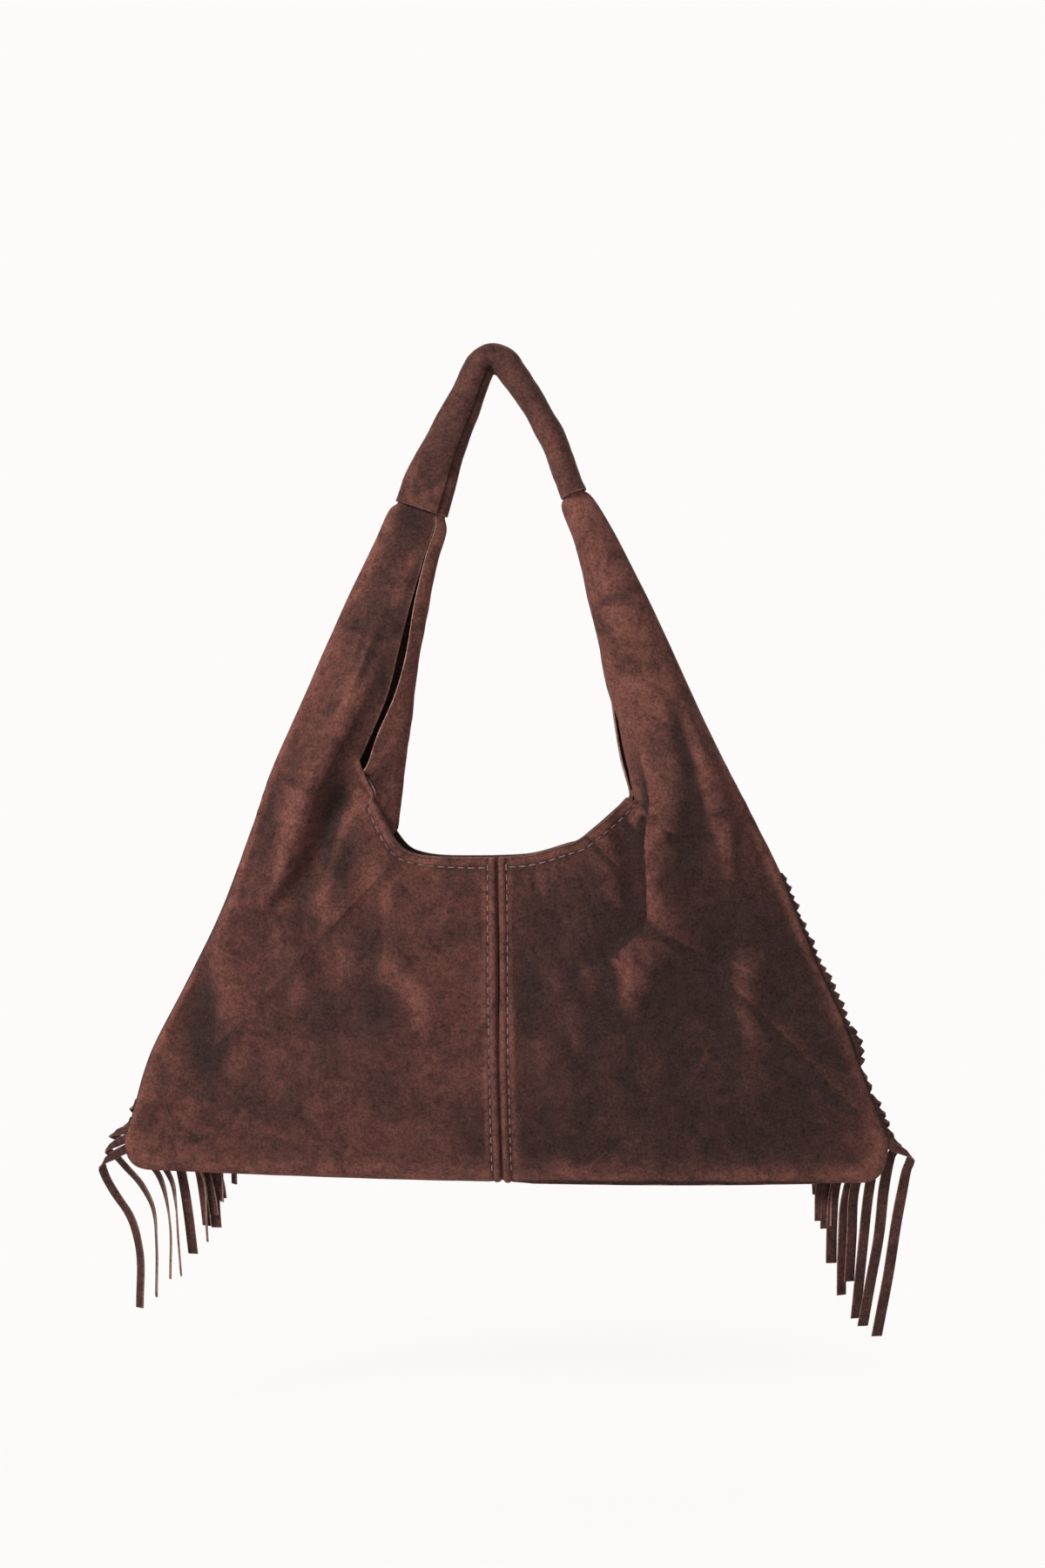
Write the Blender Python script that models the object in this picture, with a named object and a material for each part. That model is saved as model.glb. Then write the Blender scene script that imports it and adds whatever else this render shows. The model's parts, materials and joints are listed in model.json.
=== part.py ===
"""Fringed suede shoulder bag, hanging by its handle.

Two suede panels make each side. They run up into two ears, which are rolled into tubes and
joined by a suede sleeve, the handle. A cut fringe is sewn into each side seam and falls over
the far side. The origin is the inner apex of the handle, where the bag hangs. +X is to the
right, +Z is up, and the plain near side faces -Y. All sizes here are in millimetres, and the
meshes are made in metres.
"""
import math

import bmesh
import bpy
import numpy as np

METRE = 0.001

# Sheets of suede and the clearance between pieces that touch.
SUEDE = 1.2
CLEARANCE = 0.3
SEAM_ALLOWANCE = 8.0

# Body of the bag. Drops are measured down from the hang point.
BOTTOM_DROP = 464.0
BOTTOM_HALF_WIDTH = 224.0
CORNER_RADIUS = 13.0
SEAM_CURVE = 0.74
SEAM_SAG = 4.0
SEAM_SAG_DROP = 210.0
SEAM_SAG_REACH = 90.0
BELLY_HALF_DEPTH = 20.0
BELLY_RISE = 110.0
RIM_HALF_DEPTH = 15.0
RIM_PINCH = 9.0
PINCH_REACH = 26.0
LENS = 0.8

# Rim, the concave mouth edge between the ears, and its facing.
RIM_DROP = 277.0
RIM_RISE = 57.0
FACING_WIDTH = 14.0
FACING_CLEARANCE = 0.45
FACING_END_STATION = {"flat": 2.25, "round": 1.45}
FACING_COLUMNS = (0.0, 0.36, 0.72)

# Ears: the drops at which the panels start to roll into them and are tubes, and how the rim
# of a panel that turns inward slides round its ear: from the front angle, over these stations.
EAR_DROP = 225.0
ROLL_START_DROP = 300.0
RIM_FRONT_ANGLE = 60.0
RIM_TURN_STATIONS = (2.5, 3.3)

# Handle sleeve: its bend round the hang point, and the overlap of the wrapped suede.
HANDLE_THICKNESS = 18.5
SLEEVE_OVERLAP_ANGLE = 40.0
EAR_INSIDE_SLEEVE = 34.0

# Fringe strands, cut from one strip, and its header in the seam.
FRINGE_TOP_DROP = 287.0
FRINGE_END_DROP = 441.0
STRAND_WIDTH = 5.3
STRAND_LENGTH = 122.0
STRAND_STAND_OUT = 3.8
LAST_STAND_OUT = 5.2
STRAND_TILT = math.radians(46.0)
STRAND_FOLD_BACK = 1.6
STRAND_FOLD_RISE = 0.4
STRAND_FOLD_DROP = 5.0
STRAND_DRIFT = 5.0
HEADER_DEPTH = 8.0

# Mesh steps, and the stations of the mesh rows: the centre seam's allowance ends at the first,
# the bottom corner lies between the next two, the roll of the ears starts at 2 and ends at 3.
# Each has its share of the rim.
ALLOWANCE_STATION = 0.043
CORNER_STATIONS = (1.0, 1.06)
ROLL_STATIONS = (2.0, 3.0)
RIM_STATIONS = (0.0, ALLOWANCE_STATION, CORNER_STATIONS[0], *ROLL_STATIONS)
RIM_SHARES = (0.0, 0.072, 0.46, 0.72, 1.0)
DOUBLE_END_STATIONS = (2.6, 3.0)
FOLD_END_STATIONS = (4.0, 4.6)
BEFORE_CORNER = 0.985
COLUMNS = 9
STRAND_STEPS = 5
SLEEVE_RINGS = 19
SLEEVE_SIDES = 20

SIDES = {
    "left": {
        "sign": -1.0,
        "rim_reach": 82.0,
        "rim_power": 4.2,
        "corner_rise": 5.0,
        "slit_side": 1.0,
        "mouth_inset": 1.7,
        # Outer drop, inner x, inner drop and half depth of the ear's sections, going up.
        "ear": (
            (300.0, 64.0, 300.0, 13.0),
            (257.0, 58.0, 258.0, 12.0),
            (225.0, 54.5, 225.0, 11.0),
            (202.5, 51.8, 206.0, 11.0),
            (180.0, 48.3, 182.5, 11.0),
            (150.0, 44.5, 157.5, 10.0),
            (120.0, 39.0, 130.0, 8.5),
            (95.0, 33.5, 105.0, 6.5),
        ),
    },
    "right": {
        "sign": 1.0,
        "rim_reach": 95.0,
        "rim_power": 2.3,
        "corner_rise": 1.5,
        "slit_side": -1.0,
        "mouth_inset": 2.3,
        "ear": (
            (300.0, 84.0, 300.0, 20.0),
            (255.0, 78.2, 255.0, 20.0),
            (220.0, 71.0, 220.0, 20.0),
            (198.5, 67.3, 201.0, 19.0),
            (180.0, 64.0, 181.5, 18.0),
            (150.0, 58.2, 152.5, 16.0),
            (120.0, 51.8, 123.5, 14.0),
            (90.0, 45.4, 96.0, 12.0),
        ),
    },
}

# The slit between the two layers of an ear: angle of its middle round the ear, in degrees
# from the inner edge, and half its opening, at the same sections as above.
SLIT_MIDDLE = (84.0, 76.0, 69.0, 61.0, 51.0, 48.0, 51.0, 51.0)
SLIT_HALF = (6.0, 8.0, 8.0, 4.0, 5.5, 7.0, 3.5, 1.9)
STATIONS = (2.0, 2.5, 3.0, 3.3, 3.6, 4.0, 4.4, 4.7)
MOUTH_STATION = 5.0
END_STATION = 6.0

# Folds: points of the crest as (x, drop), width, height, and how far the crest leans
# towards the middle of the bag. A negative height is a valley.
FLAT_EAR_FOLDS = (
    (((76, 165), (88, 195), (106, 227), (118, 255), (129, 287), (140, 305), (139, 324)), 11, 7, 3),
    (((84, 222), (94, 243), (100, 263), (108, 283), (114, 305)), 9, -6, 0),
    (((149, 287), (158, 317), (160, 340), (155, 365), (148, 395)), 9, 3, 0),
    (((166, 345), (178, 375), (172, 405)), 13, -4, 0),
    (((99, 298), (97, 310)), 17, 4, 0),
    (((115, 303), (103, 331), (99, 351)), 8, -4, 0),
    (((71, 277), (62, 297)), 7, 3, 0),
    (((73, 329), (55, 345), (45, 357), (39, 378)), 9, 3, 0),
)
ROUND_EAR_FOLDS = (
    (((77, 196), (82, 222), (88, 250), (92, 275), (95, 298), (94, 316), (87, 330), (77, 338)), 11, 9, 4),
    (((93, 320), (80, 331), (66, 342), (56, 353)), 8, 4, 0),
    (((66, 245), (72, 265), (76, 288), (78, 303)), 8, -5, 0),
    (((107, 187), (114, 207), (120, 227), (126, 255), (132, 279), (135, 307)), 7, 4, 0),
    (((141, 325), (139, 352), (141, 380)), 8, 3, 0),
    (((87, 337), (78, 352), (72, 364)), 7, 3, 0),
    (((14, 322), (10, 345)), 24, -3, 0),
)
FLAT_FACE = {"left": "near", "right": "far"}
FOLDS = {
    ("left", "near"): FLAT_EAR_FOLDS,
    ("right", "near"): ROUND_EAR_FOLDS,
    ("left", "far"): ROUND_EAR_FOLDS,
    ("right", "far"): FLAT_EAR_FOLDS,
}


def clear_scene():
    for item in list(bpy.data.objects):
        bpy.data.objects.remove(item, do_unlink=True)


def suede_material(name, colour, roughness):
    material = bpy.data.materials.new(name)
    material.use_nodes = True
    shader = material.node_tree.nodes["Principled BSDF"]
    shader.inputs["Base Color"].default_value = (*colour, 1.0)
    shader.inputs["Roughness"].default_value = roughness
    shader.inputs["Metallic"].default_value = 0.0
    return material


def make_object(name, vertices, faces, material):
    """A closed mesh from points in millimetres, with its faces turned outward."""
    mesh = bpy.data.meshes.new(name)
    mesh.from_pydata([tuple(METRE * c for c in point) for point in vertices], [], faces)
    built = bmesh.new()
    built.from_mesh(mesh)
    bmesh.ops.recalc_face_normals(built, faces=built.faces)
    built.to_mesh(mesh)
    built.free()
    mesh.shade_smooth()
    mesh.set_sharp_from_angle(angle=math.radians(50))
    mesh.materials.append(material)
    item = bpy.data.objects.new(name, mesh)
    bpy.context.scene.collection.objects.link(item)
    return item


def ease(value, start, end):
    t = np.clip((value - start) / (end - start), 0.0, 1.0)
    return t * t * (3.0 - 2.0 * t)


def spline(keys, values, t):
    """Smooth curve through the values at the keys, read at t."""
    keys = np.asarray(keys, float)
    values = np.asarray(values, float)
    slopes = np.gradient(values, keys, axis=0)
    i = int(np.clip(np.searchsorted(keys, t) - 1, 0, len(keys) - 2))
    step = keys[i + 1] - keys[i]
    f = (t - keys[i]) / step
    start = (1 + 2 * f) * (1 - f) ** 2 * values[i] + f * (1 - f) ** 2 * step * slopes[i]
    end = f * f * (3 - 2 * f) * values[i + 1] - f * f * (1 - f) * step * slopes[i + 1]
    return start + end


def along(points, fraction):
    """Point at a fraction of the length of a polyline."""
    points = np.asarray(points, float)
    lengths = np.concatenate([[0.0], np.cumsum(np.linalg.norm(np.diff(points, axis=0), axis=1))])
    place = fraction * lengths[-1]
    return np.array([np.interp(place, lengths, points[:, k]) for k in range(points.shape[1])])


def seam_half_width(drop):
    """Half the width between the two side seams."""
    width = BOTTOM_HALF_WIDTH * (drop / (BOTTOM_DROP - CORNER_RADIUS)) ** SEAM_CURVE
    return width - SEAM_SAG * np.exp(-(((drop - SEAM_SAG_DROP) / SEAM_SAG_REACH) ** 2))


def seam_point(side, drop):
    return np.array([side["sign"] * seam_half_width(drop), -drop])


def rim_points(side):
    """The rim from the centre seam to the ear, as (x, z)."""
    share = np.linspace(0.0, 1.0, 60)
    x = side["sign"] * side["rim_reach"] * share
    return np.stack([x, -RIM_DROP + RIM_RISE * share ** side["rim_power"]], axis=1)


def border_points(side):
    """The bottom seam, the corner and the side seam up to the ear, as (x, z)."""
    side_drops = np.linspace(BOTTOM_DROP - 2.0 * CORNER_RADIUS, EAR_DROP, 40)
    seam = [seam_point(side, drop) for drop in side_drops]
    corner_x = abs(seam[0][0]) + 1.5
    bottom_end = corner_x - 1.3 * CORNER_RADIUS
    share = np.linspace(0.0, 1.0, 30)
    bottom = [(side["sign"] * bottom_end * f, -BOTTOM_DROP + side["corner_rise"] * f * f) for f in share]
    control = (side["sign"] * corner_x, bottom[-1][1])
    corner = []
    for f in np.linspace(0.0, 1.0, 9)[1:-1]:
        corner.append([
            (1 - f) ** 2 * bottom[-1][k] + 2 * f * (1 - f) * control[k] + f * f * seam[0][k] for k in (0, 1)
        ])
    return np.array(bottom + corner + [tuple(p) for p in seam])


def fraction_at_drop(points, drop):
    """Fraction of a border's length at which its side seam reaches a drop."""
    lengths = np.concatenate([[0.0], np.cumsum(np.linalg.norm(np.diff(points, axis=0), axis=1))])
    return float(np.interp(-drop, points[30:, 1], lengths[30:]) / lengths[-1])


def handle_path():
    """Middle line of the handle as (x, z), its half width in the plane, and its half depth."""
    half = 0.5 * HANDLE_THICKNESS
    return (
        (-42.6, -76.0, 15.8, 7.2),
        (-37.2, -60.0, 15.1, 7.5),
        (-29.0, -40.0, 12.5, 8.6),
        (-19.5, -20.0, 10.7, 9.2),
        (-14.8, -10.0, half + 0.4, 9.8),
        (-10.0, 1.5, half, 10.2),
        (-6.4, 6.9, half - 0.4, 10.4),
        (-0.2, half + 0.2, half - 0.4, 10.6),
        (6.2, 7.0, half - 0.5, 10.8),
        (11.2, 0.5, half - 1.1, 11.0),
        (18.4, -10.0, half - 1.4, 11.3),
        (24.5, -20.0, 7.7, 11.4),
        (34.6, -40.0, 7.7, 11.5),
        (41.6, -60.0, 7.4, 11.5),
        (45.2, -69.2, 7.8, 11.5),
    )


def handle_section(share):
    """Middle point, inward direction, half width and half depth of the suede's middle surface."""
    path = handle_path()
    keys = np.linspace(0.0, 1.0, len(path))
    here = spline(keys, path, share)
    step = 0.004
    before = spline(keys, path, share - step)[:2]
    after = spline(keys, path, share + step)[:2]
    run = (after - before) / np.linalg.norm(after - before)
    return here[:2], np.array([run[1], -run[0]]), here[2] - 0.5 * SUEDE, here[3] - 0.5 * SUEDE


def handle_share(side, depth):
    """Share of the handle's length at a depth inside the sleeve from one of its ends."""
    path = np.array(handle_path())[:, :2]
    length = np.linalg.norm(np.diff(path, axis=0), axis=1).sum()
    share = depth / length
    return share if side["sign"] < 0 else 1.0 - share


def ear_section(side, station):
    """Outer point, inner point, half depth and the slit's middle and half opening."""
    rows = [
        (side["sign"] * seam_half_width(outer), -outer, side["sign"] * inner, -drop, depth)
        for outer, inner, drop, depth in side["ear"]
    ]
    stations = list(STATIONS)
    fit = SUEDE + CLEARANCE
    inside = ((MOUTH_STATION, -2.5), (5.5, 0.5 * EAR_INSIDE_SLEEVE), (END_STATION, EAR_INSIDE_SLEEVE))
    for place, depth in inside:
        middle, inward, half_width, half_depth = handle_section(handle_share(side, depth))
        width = half_width - side["mouth_inset"] * fit
        outer, inner = middle - inward * width, middle + inward * width
        rows.append((*outer, *inner, half_depth - 2.4 * fit))
        stations.append(place)
    row = spline(stations, rows, station)
    slit_middle = spline(stations, SLIT_MIDDLE + (51.0, 51.0, 51.0), station)
    slit_half = spline(stations, SLIT_HALF + (2.0, 2.2, 2.2), station)
    return row[:2], row[2:4], row[4], slit_middle, slit_half


def body_depth(x, z):
    """Half depth of the empty bag at a point of its side, without the folds."""
    rise = BOTTOM_DROP + z
    swell = (1.0 - (1.0 - np.clip(rise / BELLY_RISE, 0.0, 1.0)) ** 2.2) ** 0.85
    deep = BELLY_HALF_DEPTH * swell
    deep = deep + (RIM_HALF_DEPTH - deep) * ease(rise, BELLY_RISE, BOTTOM_DROP - RIM_DROP)
    across = np.clip(np.abs(x) / seam_half_width(-z), 0.0, 1.0)
    return deep * (1.0 - across ** 2) ** LENS


def fold_field(x, z, folds):
    """Height of the folds at points of a side, and their lean towards the middle."""
    height = np.zeros_like(x)
    lean = np.zeros_like(x)
    for points, width, rise, tilt in folds:
        keys = np.linspace(0.0, 1.0, len(points))
        crest = np.array([spline(keys, points, t) for t in np.linspace(0.0, 1.0, 40)])
        fade = ease(np.linspace(0.0, 1.0, 40), 0.0, 0.25) * (1.0 - ease(np.linspace(0.0, 1.0, 40), 0.7, 1.0))
        if len(points) == 2:
            fade[:] = 1.0
        reach = (np.abs(x)[..., None] - crest[:, 0]) ** 2 + (-z[..., None] - crest[:, 1]) ** 2
        near = (np.exp(-reach / width ** 2) * fade).max(axis=-1)
        height += rise * near
        lean += tilt * near
    return height, lean


def seat_at_border(fraction, corner, top):
    """Half the room left between the two panels at the seam: the fringe's header needs more."""
    with_header = ease(fraction, corner - 0.02, corner + 0.01) * (1.0 - ease(fraction, top, top + 0.03))
    return 0.5 * CLEARANCE + with_header * 0.5 * (SUEDE + CLEARANCE)


def station_rows():
    """Stations of the mesh rows, from the centre seam to the end of the ear."""
    allowance = (0.0, 0.036, ALLOWANCE_STATION)
    bottom = np.linspace(0.13, 0.92, 7)
    corner = np.linspace(*CORNER_STATIONS, 3)
    side_seam = np.linspace(1.15, ROLL_STATIONS[1], 10)
    ear = np.linspace(3.15, 4.85, 9)
    inside_sleeve = (4.96, 5.05, 5.3, 5.65, END_STATION)
    return np.concatenate([allowance, bottom, corner, side_seam, ear, inside_sleeve])


def column_shares(length, in_ear, columns):
    """Places of the mesh columns, from the rim (0) to the seam (1)."""
    under_facing = [share * FACING_WIDTH for share in FACING_COLUMNS]
    inner = np.array([*under_facing, FACING_WIDTH + 1.0, FACING_WIDTH + 2.5]) / length
    outer = 1.0 - np.array([SEAM_ALLOWANCE + 1.5, SEAM_ALLOWANCE, 0.0]) / length
    spread = np.linspace(0.0, 1.0, columns + 2)[1:-1] ** 1.3
    middle = inner[-1] + (outer[0] - inner[-1]) * spread
    body = np.concatenate([inner, middle, outer])
    return body + (np.linspace(0.0, 1.0, len(body)) - body) * in_ear


def panel_row(side, face, station, shares, border, rim):
    """Middle surface of one row of a panel at the given shares, and the weight of its folds."""
    out = -1.0 if face == "near" else 1.0
    corner = fraction_at_drop(border, BOTTOM_DROP - 2.0 * CORNER_RADIUS)
    top = fraction_at_drop(border, ROLL_START_DROP)
    border_stations = (0.0, *CORNER_STATIONS, *ROLL_STATIONS)
    border_shares = (0.0, corner * BEFORE_CORNER, corner, top, 1.0)
    border_at = float(np.interp(station, border_stations, border_shares))
    rim_at = float(np.interp(station, RIM_STATIONS, RIM_SHARES))
    start, end = along(rim, rim_at), along(border, border_at)
    x = start[0] + (end[0] - start[0]) * shares
    z = start[1] + (end[1] - start[1]) * shares
    x = x + side["sign"] * 0.5 * CLEARANCE
    seat = 0.5 * SUEDE + seat_at_border(border_at, corner, fraction_at_drop(border, FRINGE_TOP_DROP))
    seat += SUEDE * (1.0 - ease(station, *DOUBLE_END_STATIONS))
    row_length = math.dist(start, end)
    pinch = RIM_PINCH * rim_at ** 3 * np.exp(-((shares * row_length / PINCH_REACH) ** 2))
    y = out * (body_depth(x, z) + seat - pinch)

    fold_weight = np.ones_like(shares)
    if station > ROLL_STATIONS[0]:
        rolled = ease(station, *ROLL_STATIONS)
        outer, inner, depth, slit_middle, slit_half = ear_section(side, station)
        middle, reach = 0.5 * (outer + inner), 0.5 * (inner - outer)
        slit = side["slit_side"] * slit_middle
        first = slit - out * slit_half
        if face != FLAT_FACE[side_name_of(side)]:
            front_angle = -out * RIM_FRONT_ANGLE
            first = front_angle + (first - front_angle) * ease(station, *RIM_TURN_STATIONS)
        angle = np.radians(first + (-out * 180.0 - first) * shares)
        ear_x = middle[0] + reach[0] * np.cos(angle)
        ear_z = middle[1] + reach[1] * np.cos(angle)
        ear_y = -depth * np.sin(angle) + out * seat * shares ** 3
        x = x + (ear_x - x) * rolled
        y = y + (ear_y - y) * rolled
        z = z + (ear_z - z) * rolled
        front = np.clip(-out * np.sin(angle) * 1.4, 0.0, 1.0) * (1.0 - ease(station, *FOLD_END_STATIONS))
        fold_weight = 1.0 + (front - 1.0) * rolled
    return x, y, z, fold_weight


def panel_surface(side_name, face, stations, columns):
    """Grid of the middle surface of a panel, with its folds."""
    side = SIDES[side_name]
    border, rim = border_points(side), rim_points(side)
    out = -1.0 if face == "near" else 1.0
    rows = []
    for station in stations:
        in_ear = float(ease(station, 2.5, 3.2))
        ends = panel_row(side, face, station, np.array([0.0, 1.0]), border, rim)
        length = max(60.0, math.dist((ends[0][0], ends[2][0]), (ends[0][1], ends[2][1])))
        shares = column_shares(length, in_ear, columns)
        x, y, z, weight = panel_row(side, face, station, shares, border, rim)
        height, lean = fold_field(x, z, FOLDS[side_name, face])
        free = weight * (1.0 - ease(shares, 0.9, 1.0))
        rows.append(np.stack([x - side["sign"] * lean * free, y + out * height * free, z], axis=1))
    return np.array(rows)


def surface_normals(grid, sign):
    along_rows = np.gradient(grid, axis=0)
    along_columns = np.gradient(grid, axis=1)
    normals = np.cross(along_rows, along_columns) * sign
    return normals / np.maximum(np.linalg.norm(normals, axis=2, keepdims=True), 1e-9)


def sheet_mesh(outer, inner):
    """Vertices and faces of the closed slab between two grids of the same shape."""
    rows, columns = outer.shape[:2]
    count = rows * columns
    vertices = np.concatenate([outer.reshape(-1, 3), inner.reshape(-1, 3)])
    faces = []
    for i in range(rows - 1):
        for j in range(columns - 1):
            a = i * columns + j
            corners = (a, a + 1, a + columns + 1, a + columns)
            faces.append(corners)
            faces.append(tuple(count + c for c in reversed(corners)))
    edge = [j for j in range(columns)]
    edge += [i * columns + columns - 1 for i in range(1, rows)]
    edge += [(rows - 1) * columns + j for j in range(columns - 2, -1, -1)]
    edge += [i * columns for i in range(rows - 2, 0, -1)]
    for a, b in zip(edge, edge[1:] + edge[:1]):
        faces.append((b, a, count + a, count + b))
    return vertices, faces


def outward_sign(side_name, face):
    return 1.0 if (side_name == "left") == (face == "near") else -1.0


def make_panel(side_name, face, material):
    """One suede panel. Its turned seam allowances make it double inside the seams."""
    stations = station_rows()
    grid = panel_surface(side_name, face, stations, COLUMNS)
    normals = surface_normals(grid, outward_sign(side_name, face))
    double = np.zeros(grid.shape[:2])
    in_body = 1.0 - ease(stations, *DOUBLE_END_STATIONS)
    double[:, -2:] = in_body[:, None]
    double[:2, 4:] = 1.0
    outer = grid + normals * 0.5 * SUEDE
    inner = grid - normals * (0.5 * SUEDE + SUEDE * double)[..., None]
    vertices, faces = sheet_mesh(outer, inner)
    return make_object(f"{face}_{side_name}_panel", vertices, faces, material)


def make_facing(face, material):
    """Strip of suede sewn inside the rim, from ear to ear, under the panels' own rows."""
    middle_rows, normal_rows = [], []
    for side_name in ("left", "right"):
        stations = station_rows()
        grid = panel_surface(side_name, face, stations, COLUMNS)
        normals = surface_normals(grid, outward_sign(side_name, face))
        ear_kind = "flat" if face == FLAT_FACE[side_name] else "round"
        kept = stations < FACING_END_STATION[ear_kind]
        grid, normals = grid[kept, :4], normals[kept, :4]
        last = (1.0 - FACING_COLUMNS[-1]) * FACING_WIDTH
        share = last / (last + 1.0)
        grid[:, 3] = grid[:, 2] + (grid[:, 3] - grid[:, 2]) * share
        half = grid - normals * (SUEDE + FACING_CLEARANCE)
        if side_name == "left":
            middle_rows.extend(list(half[:0:-1]))
            normal_rows.extend(list(normals[:0:-1]))
            middle_rows.append(half[0] * (0.0, 1.0, 1.0))
            normal_rows.append(normals[0])
        else:
            middle_rows[-1] = 0.5 * (middle_rows[-1] + half[0] * (0.0, 1.0, 1.0))
            normal_rows[-1] = 0.5 * (normal_rows[-1] + normals[0])
            middle_rows.extend(list(half[1:]))
            normal_rows.extend(list(normals[1:]))
    grid, normals = np.array(middle_rows), np.array(normal_rows)
    vertices, faces = sheet_mesh(grid + normals * 0.5 * SUEDE, grid - normals * 0.5 * SUEDE)
    return make_object(f"{face}_rim_facing", vertices, faces, material)


def make_sleeve(material):
    """The handle: a strip of suede wrapped round both ears, its edge lapped over itself."""
    turns = np.linspace(0.0, 1.0, SLEEVE_SIDES + 1)
    rings = []
    for share in np.linspace(0.0, 1.0, SLEEVE_RINGS):
        middle, inward, half_width, half_depth = handle_section(share)
        flap = 52.0 - 110.0 * float(ease(share, 0.45, 0.75))
        angle = np.radians(flap + (360.0 + SLEEVE_OVERLAP_ANGLE) * turns)
        under = (SUEDE + CLEARANCE) * ease(turns, 0.80, 0.89)
        x = middle[0] + inward[0] * (half_width - under) * np.cos(angle)
        z = middle[1] + inward[1] * (half_width - under) * np.cos(angle)
        rings.append(np.stack([x, -(half_depth - under) * np.sin(angle), z], axis=1))
    grid = np.array(rings)
    normals = surface_normals(grid, 1.0)
    vertices, faces = sheet_mesh(grid + normals * 0.5 * SUEDE, grid - normals * 0.5 * SUEDE)
    return make_object("handle_sleeve", vertices, faces, material)


def strand_rings(side, base, tangent, stand_out):
    """Rings of four points along one strand: out of the seam, folded over, then hanging."""
    sign = side["sign"]
    outward = np.array([sign * abs(tangent[2]), 0.0, abs(tangent[0])])
    across = np.array([sign * math.cos(STRAND_TILT), math.sin(STRAND_TILT), 0.0])
    hang_x = base[0] + sign * stand_out
    centres = [base]
    widths = [-tangent]
    centres.append(base + outward * 0.6 * stand_out + np.array([0.0, 0.3, 0.1]))
    widths.append(-tangent)
    fold = base + outward * (stand_out + 0.4) + np.array([0.0, STRAND_FOLD_BACK, STRAND_FOLD_RISE])
    centres.append(fold)
    diagonal = -tangent - across
    widths.append(diagonal / np.linalg.norm(diagonal))
    steps = np.linspace(0.0, 1.0, STRAND_STEPS) ** 1.2
    panel_face = 2.0 * SUEDE + 0.5 * (SUEDE + 2.0 * CLEARANCE)
    lift = 0.5 * STRAND_WIDTH * math.sin(STRAND_TILT) + panel_face + CLEARANCE + 0.5 * SUEDE
    y_so_far = 0.0
    for f in steps:
        z = fold[2] - STRAND_FOLD_DROP - (STRAND_LENGTH - STRAND_STAND_OUT - STRAND_FOLD_DROP) * f
        x = hang_x - sign * STRAND_DRIFT * f * f
        inner_x = x - sign * 0.5 * STRAND_WIDTH * math.cos(STRAND_TILT)
        wall = 0.0
        if z > -BOTTOM_DROP + 6.0:
            height, _ = fold_field(np.array([inner_x]), np.array([z]), FOLDS[side_name_of(side), "far"])
            wall = float(body_depth(inner_x, z)) + max(0.0, float(height[0]))
        y_so_far = max(y_so_far, wall + lift)
        centres.append(np.array([x, y_so_far, z]))
        widths.append(-across)
    centres, widths = np.array(centres), np.array(widths)
    runs = np.gradient(centres, axis=0)
    sides = np.cross(runs, widths) * -sign
    sides /= np.linalg.norm(sides, axis=1, keepdims=True)
    rings = []
    for centre, width, through in zip(centres, 0.5 * STRAND_WIDTH * widths, 0.5 * SUEDE * sides):
        left, right = centre + width, centre - width
        rings.append((left + through, right + through, right - through, left - through))
    return rings


def side_name_of(side):
    return "left" if side["sign"] < 0 else "right"


def make_fringe(side_name, material):
    """A strip of suede cut into strands, its header caught in the side seam."""
    side = SIDES[side_name]
    border = border_points(side)
    top, end = fraction_at_drop(border, FRINGE_TOP_DROP), fraction_at_drop(border, FRINGE_END_DROP)
    length = np.linalg.norm(np.diff(border, axis=0), axis=1).sum() * (top - end)
    pitch = STRAND_WIDTH + CLEARANCE
    strands = int(length // pitch)
    vertices, faces = [], []
    header = []
    for i in range(strands):
        for edge in (0.0, STRAND_WIDTH):
            place = top - (i * pitch + edge) / length * (top - end)
            here, ahead = along(border, place), along(border, place - 0.01)
            run = (ahead - here) / np.linalg.norm(ahead - here)
            inward = np.array([-side["sign"] * abs(run[1]), 0.0, -abs(run[0])])
            point = np.array([here[0], 0.0, here[1]])
            ring = []
            for depth, half in ((0.0, 0.5), (0.0, -0.5), (HEADER_DEPTH, -0.5), (HEADER_DEPTH, 0.5)):
                ring.append(len(vertices))
                vertices.append(point + inward * depth + np.array([0.0, half * SUEDE, 0.0]))
            header.append((ring, point, np.array([run[0], 0.0, run[1]])))
    for k, (ring, _, _) in enumerate(header):
        if k + 1 == len(header):
            break
        after = header[k + 1][0]
        sides = ((1, 2), (2, 3), (3, 0)) if k % 2 == 0 else ((0, 1), (1, 2), (2, 3), (3, 0))
        for a, b in sides:
            faces.append((ring[a], ring[b], after[b], after[a]))
    faces.append(tuple(header[0][0]))
    faces.append(tuple(header[-1][0]))
    for i in range(strands):
        first, last = header[2 * i], header[2 * i + 1]
        base = 0.5 * (first[1] + last[1])
        stand_out = STRAND_STAND_OUT + LAST_STAND_OUT * (i / (strands - 1.0)) ** 7
        rings = strand_rings(side, base, first[2], stand_out)
        loop = (first[0][0], last[0][0], last[0][1], first[0][1])
        for ring in rings[1:]:
            new = tuple(range(len(vertices), len(vertices) + 4))
            vertices.extend(ring)
            for a in range(4):
                b = (a + 1) % 4
                faces.append((loop[a], loop[b], new[b], new[a]))
            loop = new
        faces.append(loop)
    return make_object(f"{side_name}_fringe", vertices, faces, material)


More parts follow.
